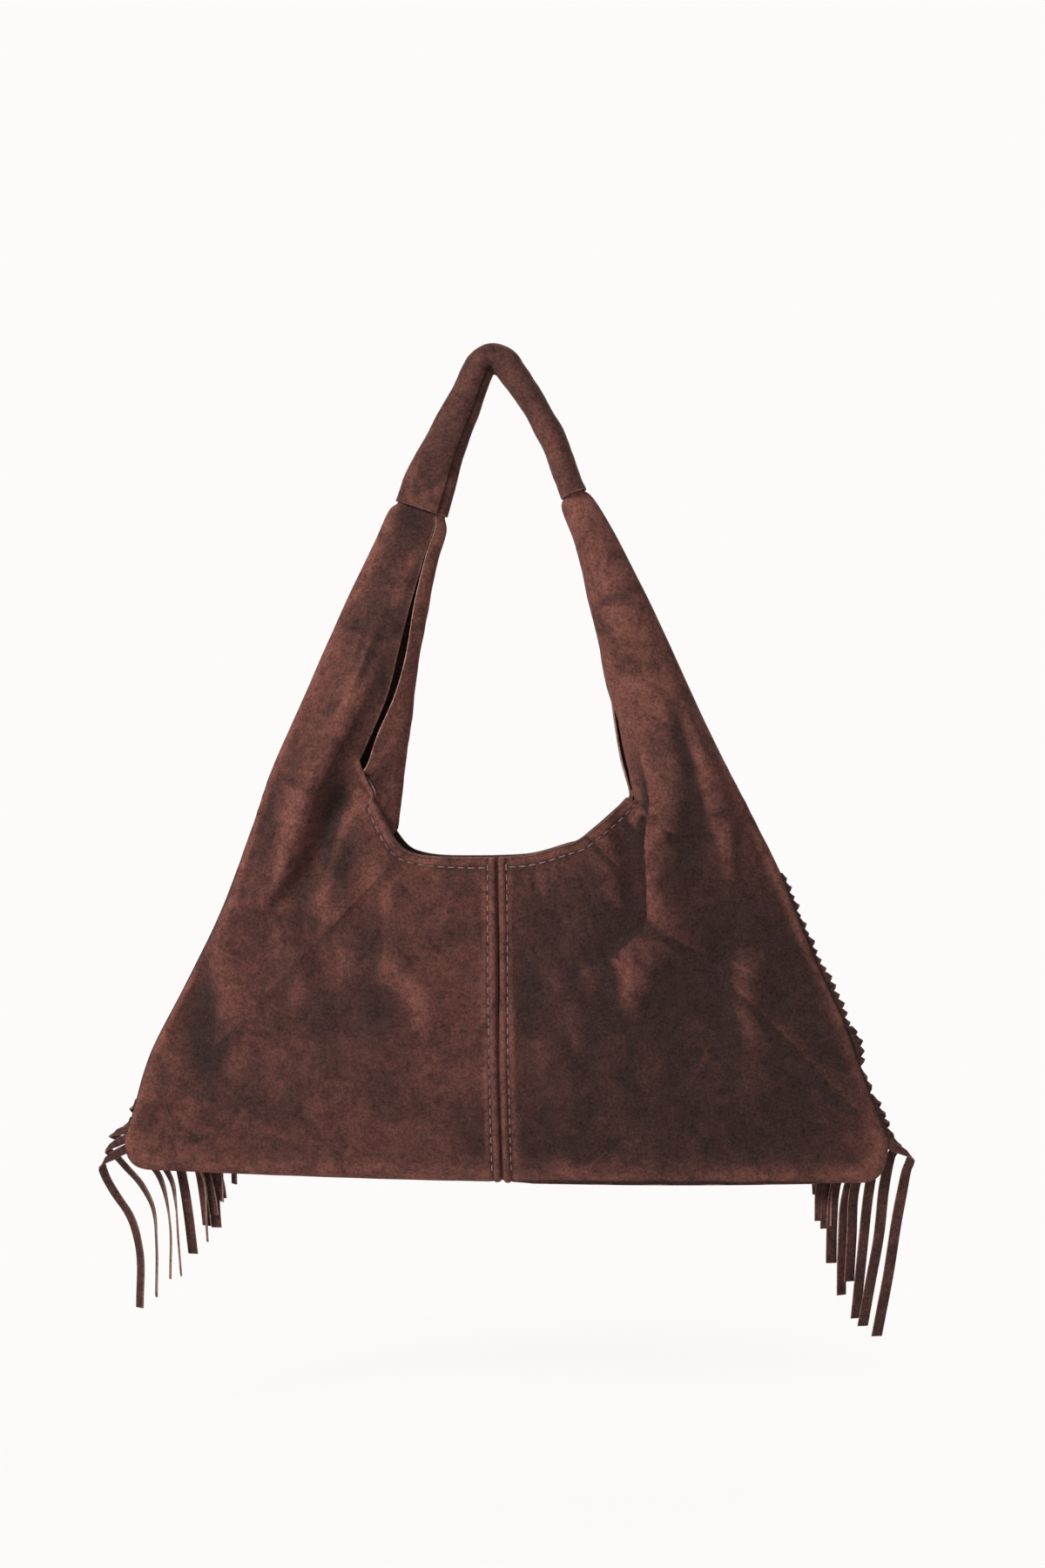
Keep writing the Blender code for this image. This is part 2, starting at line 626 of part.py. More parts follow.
def build():
    clear_scene()
    body = suede_material("suede_body", (0.105, 0.047, 0.040), 0.95)
    facing = suede_material("suede_facing", (0.080, 0.038, 0.032), 0.95)
    handle = suede_material("suede_handle", (0.100, 0.046, 0.038), 0.92)
    fringe = suede_material("suede_fringe", (0.070, 0.034, 0.031), 0.95)
    for face in ("near", "far"):
        for side_name in ("left", "right"):
            make_panel(side_name, face, body)
        make_facing(face, facing)
    make_sleeve(handle)
    for side_name in ("left", "right"):
        make_fringe(side_name, fringe)


build()
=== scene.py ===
"""Looks of the fringed suede bag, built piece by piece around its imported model.

The bag hangs from the inner apex of its handle, which is the origin. Sizes in the sections
are in millimetres, and MM turns them into the metres of the scene.
"""
import json
import math

import bpy
import numpy as np
from mathutils import Matrix, Vector, noise

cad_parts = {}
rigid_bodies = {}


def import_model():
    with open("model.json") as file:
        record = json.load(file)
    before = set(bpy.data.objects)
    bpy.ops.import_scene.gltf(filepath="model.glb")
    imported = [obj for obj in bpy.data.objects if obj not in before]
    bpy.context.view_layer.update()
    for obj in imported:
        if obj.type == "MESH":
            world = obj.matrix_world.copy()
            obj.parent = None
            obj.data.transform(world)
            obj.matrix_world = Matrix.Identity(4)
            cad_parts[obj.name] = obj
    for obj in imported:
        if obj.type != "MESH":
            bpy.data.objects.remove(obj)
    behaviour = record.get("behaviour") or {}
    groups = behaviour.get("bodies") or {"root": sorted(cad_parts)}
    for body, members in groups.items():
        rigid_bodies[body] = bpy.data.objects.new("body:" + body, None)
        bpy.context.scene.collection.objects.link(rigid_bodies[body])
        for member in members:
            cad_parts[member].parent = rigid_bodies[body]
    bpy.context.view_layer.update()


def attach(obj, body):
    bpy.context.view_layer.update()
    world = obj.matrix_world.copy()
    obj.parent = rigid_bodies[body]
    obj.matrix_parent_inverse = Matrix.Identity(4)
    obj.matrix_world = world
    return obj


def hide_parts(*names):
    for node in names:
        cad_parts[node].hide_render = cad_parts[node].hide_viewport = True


for item in list(bpy.data.objects):
    bpy.data.objects.remove(item, do_unlink=True)

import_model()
scene = bpy.context.scene
MM = 0.001


# Suede.
# One dark brown split suede makes the whole bag: short matted nap, blotched where it has been
# brushed, darkened with painted shade in set spots and on its inner side, paler along the fold
# crests and the rim from rubbing and a painted highlight, and pale woolly fibre wherever it is cut.
SUEDE = 1.2
EDGE_BULGE = 0.25 * SUEDE
NAP = (0.098, 0.038, 0.031)
NAP_BRUSHED_AND_SHADE = (0.037, 0.0200, 0.0175)
NAP_RUBBED_AND_HIGHLIGHT = (0.170, 0.066, 0.052)
CUT_FIBRE = (0.26, 0.155, 0.125)


def new_group(name, inputs, outputs):
    group = bpy.data.node_groups.new(name, "ShaderNodeTree")
    for label, kind, value in inputs:
        socket = group.interface.new_socket(label, in_out="INPUT", socket_type=kind)
        socket.default_value = value
    for label, kind in outputs:
        group.interface.new_socket(label, in_out="OUTPUT", socket_type=kind)
    return group, group.nodes.new("NodeGroupInput"), group.nodes.new("NodeGroupOutput")


def add_noise(tree, place, scale, detail, roughness, distortion=0.0):
    node = tree.nodes.new("ShaderNodeTexNoise")
    node.inputs["Scale"].default_value = scale
    node.inputs["Detail"].default_value = detail
    node.inputs["Roughness"].default_value = roughness
    node.inputs["Distortion"].default_value = distortion
    tree.links.new(place, node.inputs["Vector"])
    return node.outputs["Fac"]


def add_range(tree, value, low, high, to_low=0.0, to_high=1.0):
    node = tree.nodes.new("ShaderNodeMapRange")
    node.interpolation_type = "SMOOTHSTEP"
    for label, number in (("From Min", low), ("From Max", high), ("To Min", to_low), ("To Max", to_high)):
        node.inputs[label].default_value = number
    tree.links.new(value, node.inputs["Value"])
    return node.outputs["Result"]


def add_math(tree, operation, first, second):
    node = tree.nodes.new("ShaderNodeMath")
    node.operation = operation
    for socket, value in zip(node.inputs, (first, second)):
        if isinstance(value, (int, float)):
            socket.default_value = value
        else:
            tree.links.new(value, socket)
    return node.outputs["Value"]


def mix_colours(tree, share, first, second, blend="MIX"):
    node = tree.nodes.new("ShaderNodeMix")
    node.data_type = "RGBA"
    node.blend_type = blend
    a, b = [socket for socket in node.inputs if socket.type == "RGBA"]
    out = [socket for socket in node.outputs if socket.type == "RGBA"][0]
    for socket, value in ((node.inputs[0], share), (a, first), (b, second)):
        if isinstance(value, (int, float)):
            socket.default_value = value
        elif isinstance(value, tuple):
            socket.default_value = (*value, 1.0)
        else:
            tree.links.new(value, socket)
    return out


def new_material(name):
    material = bpy.data.materials.new(name)
    material.use_nodes = True
    return material, material.node_tree, material.node_tree.nodes["Principled BSDF"]


def build_nap_group():
    """Blotches and painted shade, rubbed crests with a painted highlight, fine mottle and the grain of the
    fibres.
    """
    group, given, result = new_group(
        "suede_nap",
        [
            ("Nap", "NodeSocketColor", (0.1, 0.04, 0.03, 1.0)),
            ("Brushed_and_shade", "NodeSocketColor", (0.05, 0.02, 0.02, 1.0)),
            ("Rubbed_and_highlight", "NodeSocketColor", (0.2, 0.1, 0.08, 1.0)),
            ("Crest", "NodeSocketFloat", 0.0),
            ("Turned", "NodeSocketFloat", 0.0),
            ("Blotch", "NodeSocketFloat", 1.0),
        ],
        [("Color", "NodeSocketColor"), ("Height", "NodeSocketFloat")],
    )
    place = group.nodes.new("ShaderNodeTexCoord").outputs["Object"]
    wide = add_noise(group, place, 13.0, 6.0, 0.62, 0.5)
    patch = add_noise(group, place, 42.0, 8.0, 0.66, 0.8)
    clump = add_noise(group, place, 170.0, 6.0, 0.6, 0.6)
    mottle = add_noise(group, place, 620.0, 5.0, 0.65)
    fibre = add_noise(group, place, 2300.0, 3.0, 0.7)
    blotch_and_shade = add_math(group, "MULTIPLY", add_range(group, wide, 0.46, 0.66), given.outputs["Blotch"])
    blotch_and_shade = add_math(group, "MULTIPLY", blotch_and_shade, 0.5)
    # Painted shade: the measure read from the mesh, broken up by patches, darkens the nap.
    spread = add_math(group, "ADD", given.outputs["Turned"], add_math(group, "MULTIPLY", patch, 0.5))
    spread = add_range(group, spread, 0.30, 0.82)
    blotch_and_shade = add_math(group, "MAXIMUM", blotch_and_shade, spread)
    colour = mix_colours(group, blotch_and_shade, given.outputs["Nap"], given.outputs["Brushed_and_shade"])
    speck = add_range(group, patch, 0.55, 0.40, 0.0, 0.55)
    colour = mix_colours(group, speck, colour, given.outputs["Brushed_and_shade"])
    # Crests, the rim and random patches turn paler: rubbed wear and a painted highlight.
    rubbed_patches = add_range(group, patch, 0.30, 0.62, 0.25, 1.0)
    worn_and_highlight = add_math(group, "MULTIPLY", given.outputs["Crest"], rubbed_patches)
    worn_and_highlight = add_math(group, "ADD", worn_and_highlight, add_range(group, patch, 0.56, 0.74, 0.0, 0.34))
    colour = mix_colours(group, worn_and_highlight, colour, given.outputs["Rubbed_and_highlight"])
    tone = add_range(group, clump, 0.25, 0.75, 0.74, 1.22)
    tone = add_math(group, "ADD", tone, add_range(group, mottle, 0.25, 0.75, -0.38, 0.42))
    tone = add_math(group, "ADD", tone, add_range(group, fibre, 0.3, 0.7, -0.34, 0.38))
    shade = group.nodes.new("ShaderNodeCombineColor")
    for label in ("Red", "Green", "Blue"):
        group.links.new(tone, shade.inputs[label])
    colour = mix_colours(group, 1.0, colour, shade.outputs["Color"], "MULTIPLY")
    height = add_math(group, "MULTIPLY", clump, 0.45)
    for grain, share in ((mottle, 0.35), (fibre, 0.3)):
        height = add_math(group, "ADD", height, add_math(group, "MULTIPLY", grain, share))
    group.links.new(colour, result.inputs["Color"])
    group.links.new(height, result.inputs["Height"])
    return group


nap_group = build_nap_group()


def suede(name, nap, brushed_and_shade, rubbed_and_highlight, blotch, sheen, roughness=0.95, bump=0.00045):
    """A suede finish. The mesh measures how far it stands proud and how much painted shade and turned nap
    darken it.
    """
    material, tree, shader = new_material(name)
    nap_node = tree.nodes.new("ShaderNodeGroup")
    nap_node.node_tree = nap_group
    for label, colour in (("Nap", nap), ("Brushed_and_shade", brushed_and_shade), ("Rubbed_and_highlight", rubbed_and_highlight)):
        nap_node.inputs[label].default_value = (*colour, 1.0)
    nap_node.inputs["Blotch"].default_value = blotch
    for label in ("crest", "turned"):
        measure = tree.nodes.new("ShaderNodeAttribute")
        measure.attribute_name = label
        tree.links.new(measure.outputs["Fac"], nap_node.inputs[label.capitalize()])
    relief = tree.nodes.new("ShaderNodeBump")
    relief.inputs["Strength"].default_value = 0.9
    relief.inputs["Distance"].default_value = bump
    tree.links.new(nap_node.outputs["Height"], relief.inputs["Height"])
    tree.links.new(nap_node.outputs["Color"], shader.inputs["Base Color"])
    tree.links.new(relief.outputs["Normal"], shader.inputs["Normal"])
    shader.inputs["Roughness"].default_value = roughness
    shader.inputs["Specular IOR Level"].default_value = 0.12
    shader.inputs["Sheen Weight"].default_value = sheen
    shader.inputs["Sheen Roughness"].default_value = 0.45
    shader.inputs["Sheen Tint"].default_value = (0.50, 0.33, 0.29, 1.0)
    return material


body_suede = suede("body_suede", NAP, NAP_BRUSHED_AND_SHADE, NAP_RUBBED_AND_HIGHLIGHT, 1.0, 0.16)
cut_suede = suede("cut_suede", CUT_FIBRE, NAP_RUBBED_AND_HIGHLIGHT, (0.42, 0.30, 0.25), 0.3, 0.15, bump=0.0003)


# Panels.
# Two suede panels make each side, sewn together down the middle and to the other side along
# the bottom and the side seams. Each runs up into one half of an ear, which rolls into a tube:
# on the flat half the rim stays in front, on the round half it turns inward round the tube.
CLEARANCE = 0.3
BOTTOM_DROP = 464.0
BOTTOM_HALF_WIDTH = 224.0
CORNER_RADIUS = 13.0
SEAM_CURVE = 0.74
SEAM_SAG, SEAM_SAG_DROP, SEAM_SAG_REACH = 4.0, 210.0, 90.0
BELLY_HALF_DEPTH, BELLY_RISE, RIM_HALF_DEPTH = 20.0, 110.0, 15.0
RIM_PINCH, PINCH_REACH, LENS = 9.0, 26.0, 0.8
RIM_DROP = 277.0
EAR_DROP, ROLL_START_DROP = 225.0, 300.0
HANDLE_THICKNESS = 18.5
EAR_INSIDE_SLEEVE = 34.0
FRINGE_TOP_DROP, FRINGE_END_DROP = 287.0, 448.0

SIDES = {
    "left": {
        "name": "left", "sign": -1, "corner_rise": 7.5, "bottom_sag": 0,
        # The rim as (x, drop) from the centre seam to the foot of the ear.
        "rim": (
            (0, 277), (18, 276.9), (36, 276.3), (47, 274.6), (54, 271.6), (60, 264.5),
            (66, 253), (71, 241.5), (75.3, 231), (78.3, 223), (79.2, 217),
        ),
        # Where the side seam lies off its curve: amounts outward, drops and reaches.
        "seam_shifts": ((-5.2, 306, 50), (3.6, 392, 28), (1.4, 220, 40)),
        # Outer drop, inner x, inner drop and half depth of the ear's sections, going up.
        "ear": (
            (300, 64, 300, 13), (257, 58, 258, 12), (225, 54.5, 225, 11),
            (202.5, 51.8, 206, 11), (180, 48.3, 182.5, 11), (150, 44.5, 157.5, 10),
            (120, 39, 130, 8.5), (95, 33.5, 105, 6.5),
        ),
    },
    "right": {
        "name": "right", "sign": 1, "corner_rise": 0.3, "bottom_sag": 1.2,
        "rim": (
            (0, 277), (19, 275.6), (38, 270.4), (46, 268), (54, 262), (64, 254),
            (72.3, 245.8), (79, 238), (87, 228), (95, 220),
        ),
        "seam_shifts": ((2.9, 272, 40), (1.8, 372, 22)),
        "ear": (
            (300, 84, 300, 20), (255, 78.2, 255, 20), (220, 71, 220, 20),
            (198.5, 67.3, 201, 19), (180, 64, 181.5, 18), (150, 58.2, 152.5, 16),
            (120, 51.8, 123.5, 14), (90, 45.4, 96, 12),
        ),
    },
}
SEAM_STATION, CORNER_STATION = 0.055, 1.06
STATIONS = (2, 2.5, 3, 3.3, 3.6, 4, 4.4, 4.7)
# Stations at the sleeve: how deep inside it they lie, and how much of the room there they leave.
INSIDE_SLEEVE = (
    (5, -4.5, -0.9), (5.15, -0.5, 1),
    (5.5, 0.5 * EAR_INSIDE_SLEEVE, 1), (6, EAR_INSIDE_SLEEVE, 1),
)

# Where each rim lies round the ear, in degrees from its inner edge, at the stations above and
# inside the sleeve. The round half's rim is rolled in just behind the flat half's.
FLAT_RIM_ANGLES = {
    "left": (90, 84, 72, 65, 56.5, 55, 54.5, 52.9, 53, 53.1, 53.2, 53.2),
    "right": (16, 13, 11, 11, 11, 18, 36, 50, 53, 53.1, 53.2, 53.2),
}
ROUND_RIM_ANGLES = (78, 68, 61, 57, 45.5, 41, 47.5, 49.1, 49, 48.9, 48.8, 48.8)
# How far each half's inner edge stands back (or proud, if negative) from the ear's own.
EDGE_SET_BACK = {
    ("right", "near"): (0, 2, 3, 3.3, 0, 0, 0, 0, 0, 0, 0, 0),
    ("right", "far"): (0, -2.8, -1.4, -0.5, 0.3, 0.6, 0.3, 0, 0, 0, 0, 0),
}
# At the foot of the ear the rim still follows the mouth of the bag: up to which station, and
# between which stations it lets go of it.
RIM_HOLDS = {
    ("left", "near"): (3, 2.9, 3.12), ("left", "far"): (2.95, 2.6, 3.1),
    ("right", "near"): (3, 2.7, 3.1), ("right", "far"): (2, 2.4, 3),
}
ROLL_STATIONS = (2, 3)
ROUND_ROLL_AHEAD = 0.5
FAR_RIM_SHOWS, FAR_RIM_REACH = {"left": 1.3, "right": 0.5}, 10.0
RIMS_APART = 2.9
FAR_RIM_BEHIND = {"left": RIMS_APART, "right": 4.0}

# Folds: points of the crest as (x, drop), its reach towards the middle of the bag and away from
# it, its height, and how far the crest leans over towards the middle. A negative height is a valley.
FLAT_EAR_FOLDS = (
    (((76, 165), (88, 195), (106, 227), (118, 255), (129, 287), (140, 305), (139, 324)), 8, 13, 8, 3),
    (((84, 222), (94, 243), (100, 263), (108, 283), (114, 305)), 8, 8, -7, 0),
    (((149, 287), (158, 317), (160, 340), (155, 365), (148, 395)), 9, 9, 4, 0),
    (((166, 345), (178, 375), (172, 405)), 13, 13, -4, 0),
    (((99, 298), (97, 310)), 15, 15, 4, 0),
    (((115, 303), (103, 331), (99, 351)), 8, 8, -4, 0),
    (((71, 277), (62, 297)), 7, 7, 3, 0),
    (((73, 329), (55, 345), (45, 357), (39, 378)), 9, 9, 3, 0),
)
ROUND_EAR_FOLDS = (
    (
        ((88, 238), (93, 256), (96, 275), (97, 292), (97, 306), (94, 318), (84, 327), (72, 333), (60, 345)),
        5.5, 20, 9, 12,
    ),
    (((66, 250), (72, 268), (77, 288), (80, 305)), 9, 7, -4, 0),
    (((107, 187), (114, 207), (120, 227), (126, 255), (132, 279), (135, 307)), 7, 6, 4, 0),
    (((141, 325), (139, 352), (141, 380)), 8, 8, 3, 0),
    (((87, 337), (78, 352), (72, 364)), 7, 7, 3, 0),
    (((14, 322), (10, 345)), 24, 24, -3, 0),
)
FAR_LEFT_FOLDS = (
    (((66, 250), (71, 268), (73, 285), (72, 302), (65, 316), (54, 328)), 5.5, 20, 8, 10),
) + ROUND_EAR_FOLDS[2:]
FLAT_FACE = {"left": "near", "right": "far"}

# Spots darkened with painted shade, partly turned nap, as x, drop, reach across, reach down and amount.
SHADE_AND_TURNED_SPOTS = {
    "near": (
        (-62, 120, 30, 62, 0.95), (-92, 262, 11, 34, 0.85), (-132, 250, 12, 46, 0.4),
        (-168, 378, 15, 34, 0.8), (-70, 330, 20, 26, 0.45), (-100, 365, 18, 22, 0.5),
        (60, 330, 60, 70, 0.62), (140, 380, 85, 95, 0.85), (95, 230, 34, 90, 0.8),
        (60, 392, 52, 60, 0.62), (-73, 362, 22, 30, 0.5),
        (62, 120, 30, 60, 0.6), (90, 440, 120, 40, 0.75), (20, 352, 18, 40, 0.55),
    ),
    "far": (
        (70, 130, 30, 62, 0.8), (-84, 250, 30, 70, 0.7), (120, 360, 70, 60, 0.7),
        (-110, 400, 60, 50, 0.6), (20, 330, 40, 40, 0.5),
    ),
}
# How much paler the rim is made: partly rubbed wear, partly a painted highlight where it faces up.
RIM_RUB_AND_HIGHLIGHT = 0.8
FOLDS = {
    ("left", "near"): FLAT_EAR_FOLDS, ("right", "near"): ROUND_EAR_FOLDS,
    ("left", "far"): FAR_LEFT_FOLDS, ("right", "far"): FLAT_EAR_FOLDS,
}

# Fine shape: the seams' rolled edges, the pad of turned seam allowance between a stitch line
# and its seam, and the dents that the stitches pull.
STITCH_FROM_SEAM = 5.0
STITCH_FROM_RIM = 5.5
STITCH_DENT, DENT_WIDTH = 0.45, 0.9
SEAM_GROOVE, GROOVE_WIDTH = 1.5, 1.4
SEAM_PAD = {"left": 0.675, "right": 1.0125}
RIM_THINNING = 0.35
PUCKER, PUCKERS_A_STATION, PUCKER_FROM_SEAM, PUCKER_WIDTH = 0.22, 46.0, 6.0, 5.0
SIDE_TUCK, TUCK_REACH = 2.1, 7.5
ROWS_BY_SEAM, ROWS_IN_BODY, ROWS_IN_EAR = 20, 110, 120
COLUMNS = 64
BOTTOM_POINTS = 30
# Stations of the body's rows, and the share of the rim's length that each has reached.
RIM_STATIONS, RIM_SHARES = (0.0, 0.043, 1.0, 2.0, 3.0), (0.0, 0.072, 0.46, 0.72, 1.0)
# The suede's slow unevenness: height, wavelength and seed of each wave.
UNEVENNESS = ((1.1, 46.0, 0.0), (0.5, 17.0, 2.0), (0.16, 6.0, 4.0))


def ease(value, start, end):
    t = np.clip((value - start) / (end - start), 0.0, 1.0)
    return t * t * (3.0 - 2.0 * t)


def spline(keys, values, t):
    """Smooth curve through the values at the keys, read at t."""
    keys, values = np.asarray(keys, float), np.asarray(values, float)
    slopes = np.gradient(values, keys, axis=0)
    i = int(np.clip(np.searchsorted(keys, t) - 1, 0, len(keys) - 2))
    step = keys[i + 1] - keys[i]
    f = (t - keys[i]) / step
    start = (1 + 2 * f) * (1 - f) ** 2 * values[i] + f * (1 - f) ** 2 * step * slopes[i]
    end = f * f * (3 - 2 * f) * values[i + 1] - f * f * (1 - f) * step * slopes[i + 1]
    return start + end


def run_lengths(points):
    return np.concatenate([[0.0], np.cumsum(np.linalg.norm(np.diff(points, axis=0), axis=1))])


def along(points, fraction):
    """Point at a fraction of the length of a polyline."""
    lengths = run_lengths(points)
    return np.array([np.interp(fraction * lengths[-1], lengths, values) for values in points.T])


def seam_half_width(side, drop):
    width = BOTTOM_HALF_WIDTH * (drop / (BOTTOM_DROP - CORNER_RADIUS)) ** SEAM_CURVE
    width = width - SEAM_SAG * np.exp(-(((drop - SEAM_SAG_DROP) / SEAM_SAG_REACH) ** 2))
    for amount, middle, reach in side["seam_shifts"]:
        width = width + amount * np.exp(-(((drop - middle) / reach) ** 2))
    return width


def rim_points(side):
    """The rim from the centre seam to the ear, as (x, z)."""
    keys = np.linspace(0.0, 1.0, len(side["rim"]))
    points = np.array([spline(keys, side["rim"], t) for t in np.linspace(0.0, 1.0, 160)])
    return points * (side["sign"], -1.0)


def border_points(side):
    """The bottom seam, the corner and the side seam up to the ear, as (x, z)."""
    drops = np.linspace(BOTTOM_DROP - 2.0 * CORNER_RADIUS, EAR_DROP, 80)
    seam = [(side["sign"] * seam_half_width(side, drop), -drop) for drop in drops]
    corner_x = abs(seam[0][0]) + 1.5
    bottom_end = corner_x - 1.3 * CORNER_RADIUS
    bottom = []
    for f in np.linspace(0.0, 1.0, BOTTOM_POINTS):
        lift = side["corner_rise"] * f ** 1.3 - side["bottom_sag"] * math.sin(math.pi * f)
        bottom.append((side["sign"] * bottom_end * f, -BOTTOM_DROP + lift))
    control = (side["sign"] * corner_x, bottom[-1][1])
    corner = [
        [(1 - f) ** 2 * bottom[-1][k] + 2 * f * (1 - f) * control[k] + f * f * seam[0][k] for k in (0, 1)]
        for f in np.linspace(0.0, 1.0, 13)[1:-1]
    ]
    return np.array(bottom + corner + seam)


def fraction_at_drop(points, drop):
    """Fraction of a border's length at which its side seam reaches a drop."""
    lengths = run_lengths(points)
    return float(np.interp(-drop, points[BOTTOM_POINTS:, 1], lengths[BOTTOM_POINTS:]) / lengths[-1])


def handle_path():
    """Middle line of the handle as (x, z), its half width in the plane, and its half depth."""
    half = 0.5 * HANDLE_THICKNESS
    return (
        (-42.6, -76, 15.8, 7.2), (-37.2, -60, 15.1, 7.5), (-29, -40, 12.5, 8.6),
        (-19.5, -20, 10.7, 9.2), (-14.8, -10, half + 0.4, 9.8), (-10, 1.5, half, 10.2),
        (-6.4, 6.9, half - 0.4, 10.4), (-0.2, half + 0.2, half - 0.4, 10.6), (6.2, 7, half - 0.5, 10.8),
        (11.2, 0.5, half - 1.1, 11), (18.4, -10, half - 1.4, 11.3), (24.5, -20, 7.7, 11.4),
        (34.6, -40, 7.7, 11.5), (41.6, -60, 7.4, 11.5), (45.2, -69.2, 7.8, 11.5),
    )


def handle_section(share):
    """Middle point, inward direction, half width and half depth of the suede's middle surface."""
    path = handle_path()
    keys = np.linspace(0.0, 1.0, len(path))
    here = spline(keys, path, share)
    step = 0.004
    run = spline(keys, path, share + step)[:2] - spline(keys, path, share - step)[:2]
    run /= np.linalg.norm(run)
    return here[:2], np.array([run[1], -run[0]]), here[2] - 0.5 * SUEDE, here[3] - 0.5 * SUEDE


def handle_share(side, depth):
    """Share of the handle's length at a depth inside the sleeve from one of its ends."""
    length = run_lengths(np.array(handle_path())[:, :2])[-1]
    return depth / length if side["sign"] < 0 else 1.0 - depth / length


def ear_rows(side):
    rows = [
        (side["sign"] * seam_half_width(side, outer), -outer, side["sign"] * inner, -drop, depth)
        for outer, inner, drop, depth in side["ear"]
    ]
    fit = SUEDE + CLEARANCE
    for _, depth, inset in INSIDE_SLEEVE:
        middle, inward, half_width, half_depth = handle_section(handle_share(side, depth))
        width = half_width - inset * fit
        rows.append((*(middle - inward * width), *(middle + inward * width), half_depth - 2.4 * fit))
    return rows


def body_depth(side, x, z):
    """Half depth of the empty bag at a point of its side, without the folds."""
    rise = BOTTOM_DROP + z
    swell = (1.0 - (1.0 - np.clip(rise / BELLY_RISE, 0.0, 1.0)) ** 2.2) ** 0.85
    deep = BELLY_HALF_DEPTH * swell
    deep = deep + (RIM_HALF_DEPTH - deep) * ease(rise, BELLY_RISE, BOTTOM_DROP - RIM_DROP)
    across = np.clip(np.abs(x) / seam_half_width(side, -z), 0.0, 1.0)
    return deep * (1.0 - across ** 2) ** LENS


def fold_crests(folds):
    crests = []
    steps = np.linspace(0.0, 1.0, 60)
    for points, inner_reach, outer_reach, rise, tilt in folds:
        keys = np.linspace(0.0, 1.0, len(points))
        crest = np.array([spline(keys, points, t) for t in steps])
        fade = ease(steps, 0.0, 0.25) * (1.0 - ease(steps, 0.7, 1.0))
        if len(points) == 2:
            fade[:] = 1.0
        crests.append((crest, fade, inner_reach, outer_reach, rise, tilt))
    return crests


def fold_field(x, z, crests):
    """Height of the folds at points of a side, and their lean towards the middle."""
    height, lean = np.zeros_like(x), np.zeros_like(x)
    for crest, fade, inner_reach, outer_reach, rise, tilt in crests:
        ways = np.gradient(crest, axis=0)
        across, down = np.abs(x)[..., None] - crest[:, 0], -z[..., None] - crest[:, 1]
        inner = across * ways[:, 1] - down * ways[:, 0] < 0.0
        reach = np.where(inner, inner_reach, outer_reach)
        near = (np.exp(-(across ** 2 + down ** 2) / reach ** 2) * fade).max(axis=-1)
        height += rise * near
        lean += tilt * near
    return height, lean


def seat_at_border(fraction, corner, top):
    """Half the room left between the two panels at the seam: the fringe's header needs more."""
    with_header = ease(fraction, corner - 0.02, corner + 0.01) * (1.0 - ease(fraction, top, top + 0.03))
    return 0.5 * CLEARANCE + with_header * 0.5 * (SUEDE + CLEARANCE)


def station_rows():
    """Stations of the mesh rows: close together by the centre seam, then along the bottom and the ear."""
    by_seam = np.linspace(0.0, SEAM_STATION, ROWS_BY_SEAM, endpoint=False)
    shares = np.linspace(0.0, 1.0, ROWS_IN_BODY, endpoint=False) ** 0.95
    bottom = SEAM_STATION + (CORNER_STATION - SEAM_STATION) * shares
    return np.concatenate([by_seam, bottom, np.linspace(CORNER_STATION, 6.0, ROWS_IN_EAR)])


def column_shares(length):
    """Places of the mesh columns, from the rim (0) to the seam (1), closer at both edges."""
    inner = np.array([0.0, 0.4, 0.9, 1.6, 2.6, 3.6, 4.3, 4.9, 5.5, 6.1, 6.7, 7.6, 9.0]) / length
    outer = 1.0 - np.array([7.0, 5.4, 4.2, 3.2, 2.3, 1.5, 0.8, 0.3, 0.0]) / length
    middle = np.linspace(inner[-1], outer[0], COLUMNS + 2)[1:-1]
    return np.concatenate([inner, middle, outer])


def panel_row(side, face, station, shares, border, rim, ears):
    """Middle surface of one row of a panel at the given shares, as x, y, z and the folds' weight."""
    out = -1.0 if face == "near" else 1.0
    corner = fraction_at_drop(border, BOTTOM_DROP - 2.0 * CORNER_RADIUS)
    top = fraction_at_drop(border, ROLL_START_DROP)
    reached = (0.0, corner * 0.985, corner, top, 1.0)
    border_at = float(np.interp(station, (0.0, 1.0, CORNER_STATION, 2.0, 3.0), reached))
    rim_at = float(np.interp(station, RIM_STATIONS, RIM_SHARES))
    start, end = along(rim, rim_at), along(border, border_at)
    x = start[0] + (end[0] - start[0]) * shares + side["sign"] * 0.5 * CLEARANCE
    z = start[1] + (end[1] - start[1]) * shares
    to_rim = shares * math.dist(start, end)
    seat = 0.5 * SUEDE + seat_at_border(border_at, corner, fraction_at_drop(border, FRINGE_TOP_DROP))
    seat += SUEDE * (1.0 - ease(station, 2.6, 3.0))
    pinch = RIM_PINCH * rim_at ** 3 * np.exp(-((to_rim / PINCH_REACH) ** 2))
    y = out * (body_depth(side, x, z) + seat - pinch)
    if face == "far":
        by_rim = np.exp(-((to_rim / FAR_RIM_REACH) ** 2))
        z = z + FAR_RIM_SHOWS[side["name"]] * ease(station, 0.4, 1.4) * by_rim
    weight = np.ones_like(shares)
    if station > 2.0:
        flat = face == FLAT_FACE[side["name"]]
        x, y, z, weight = ear_row(side, face, flat, station, shares, (x, y, z), rim, ears, seat)
    return x, y, z, weight


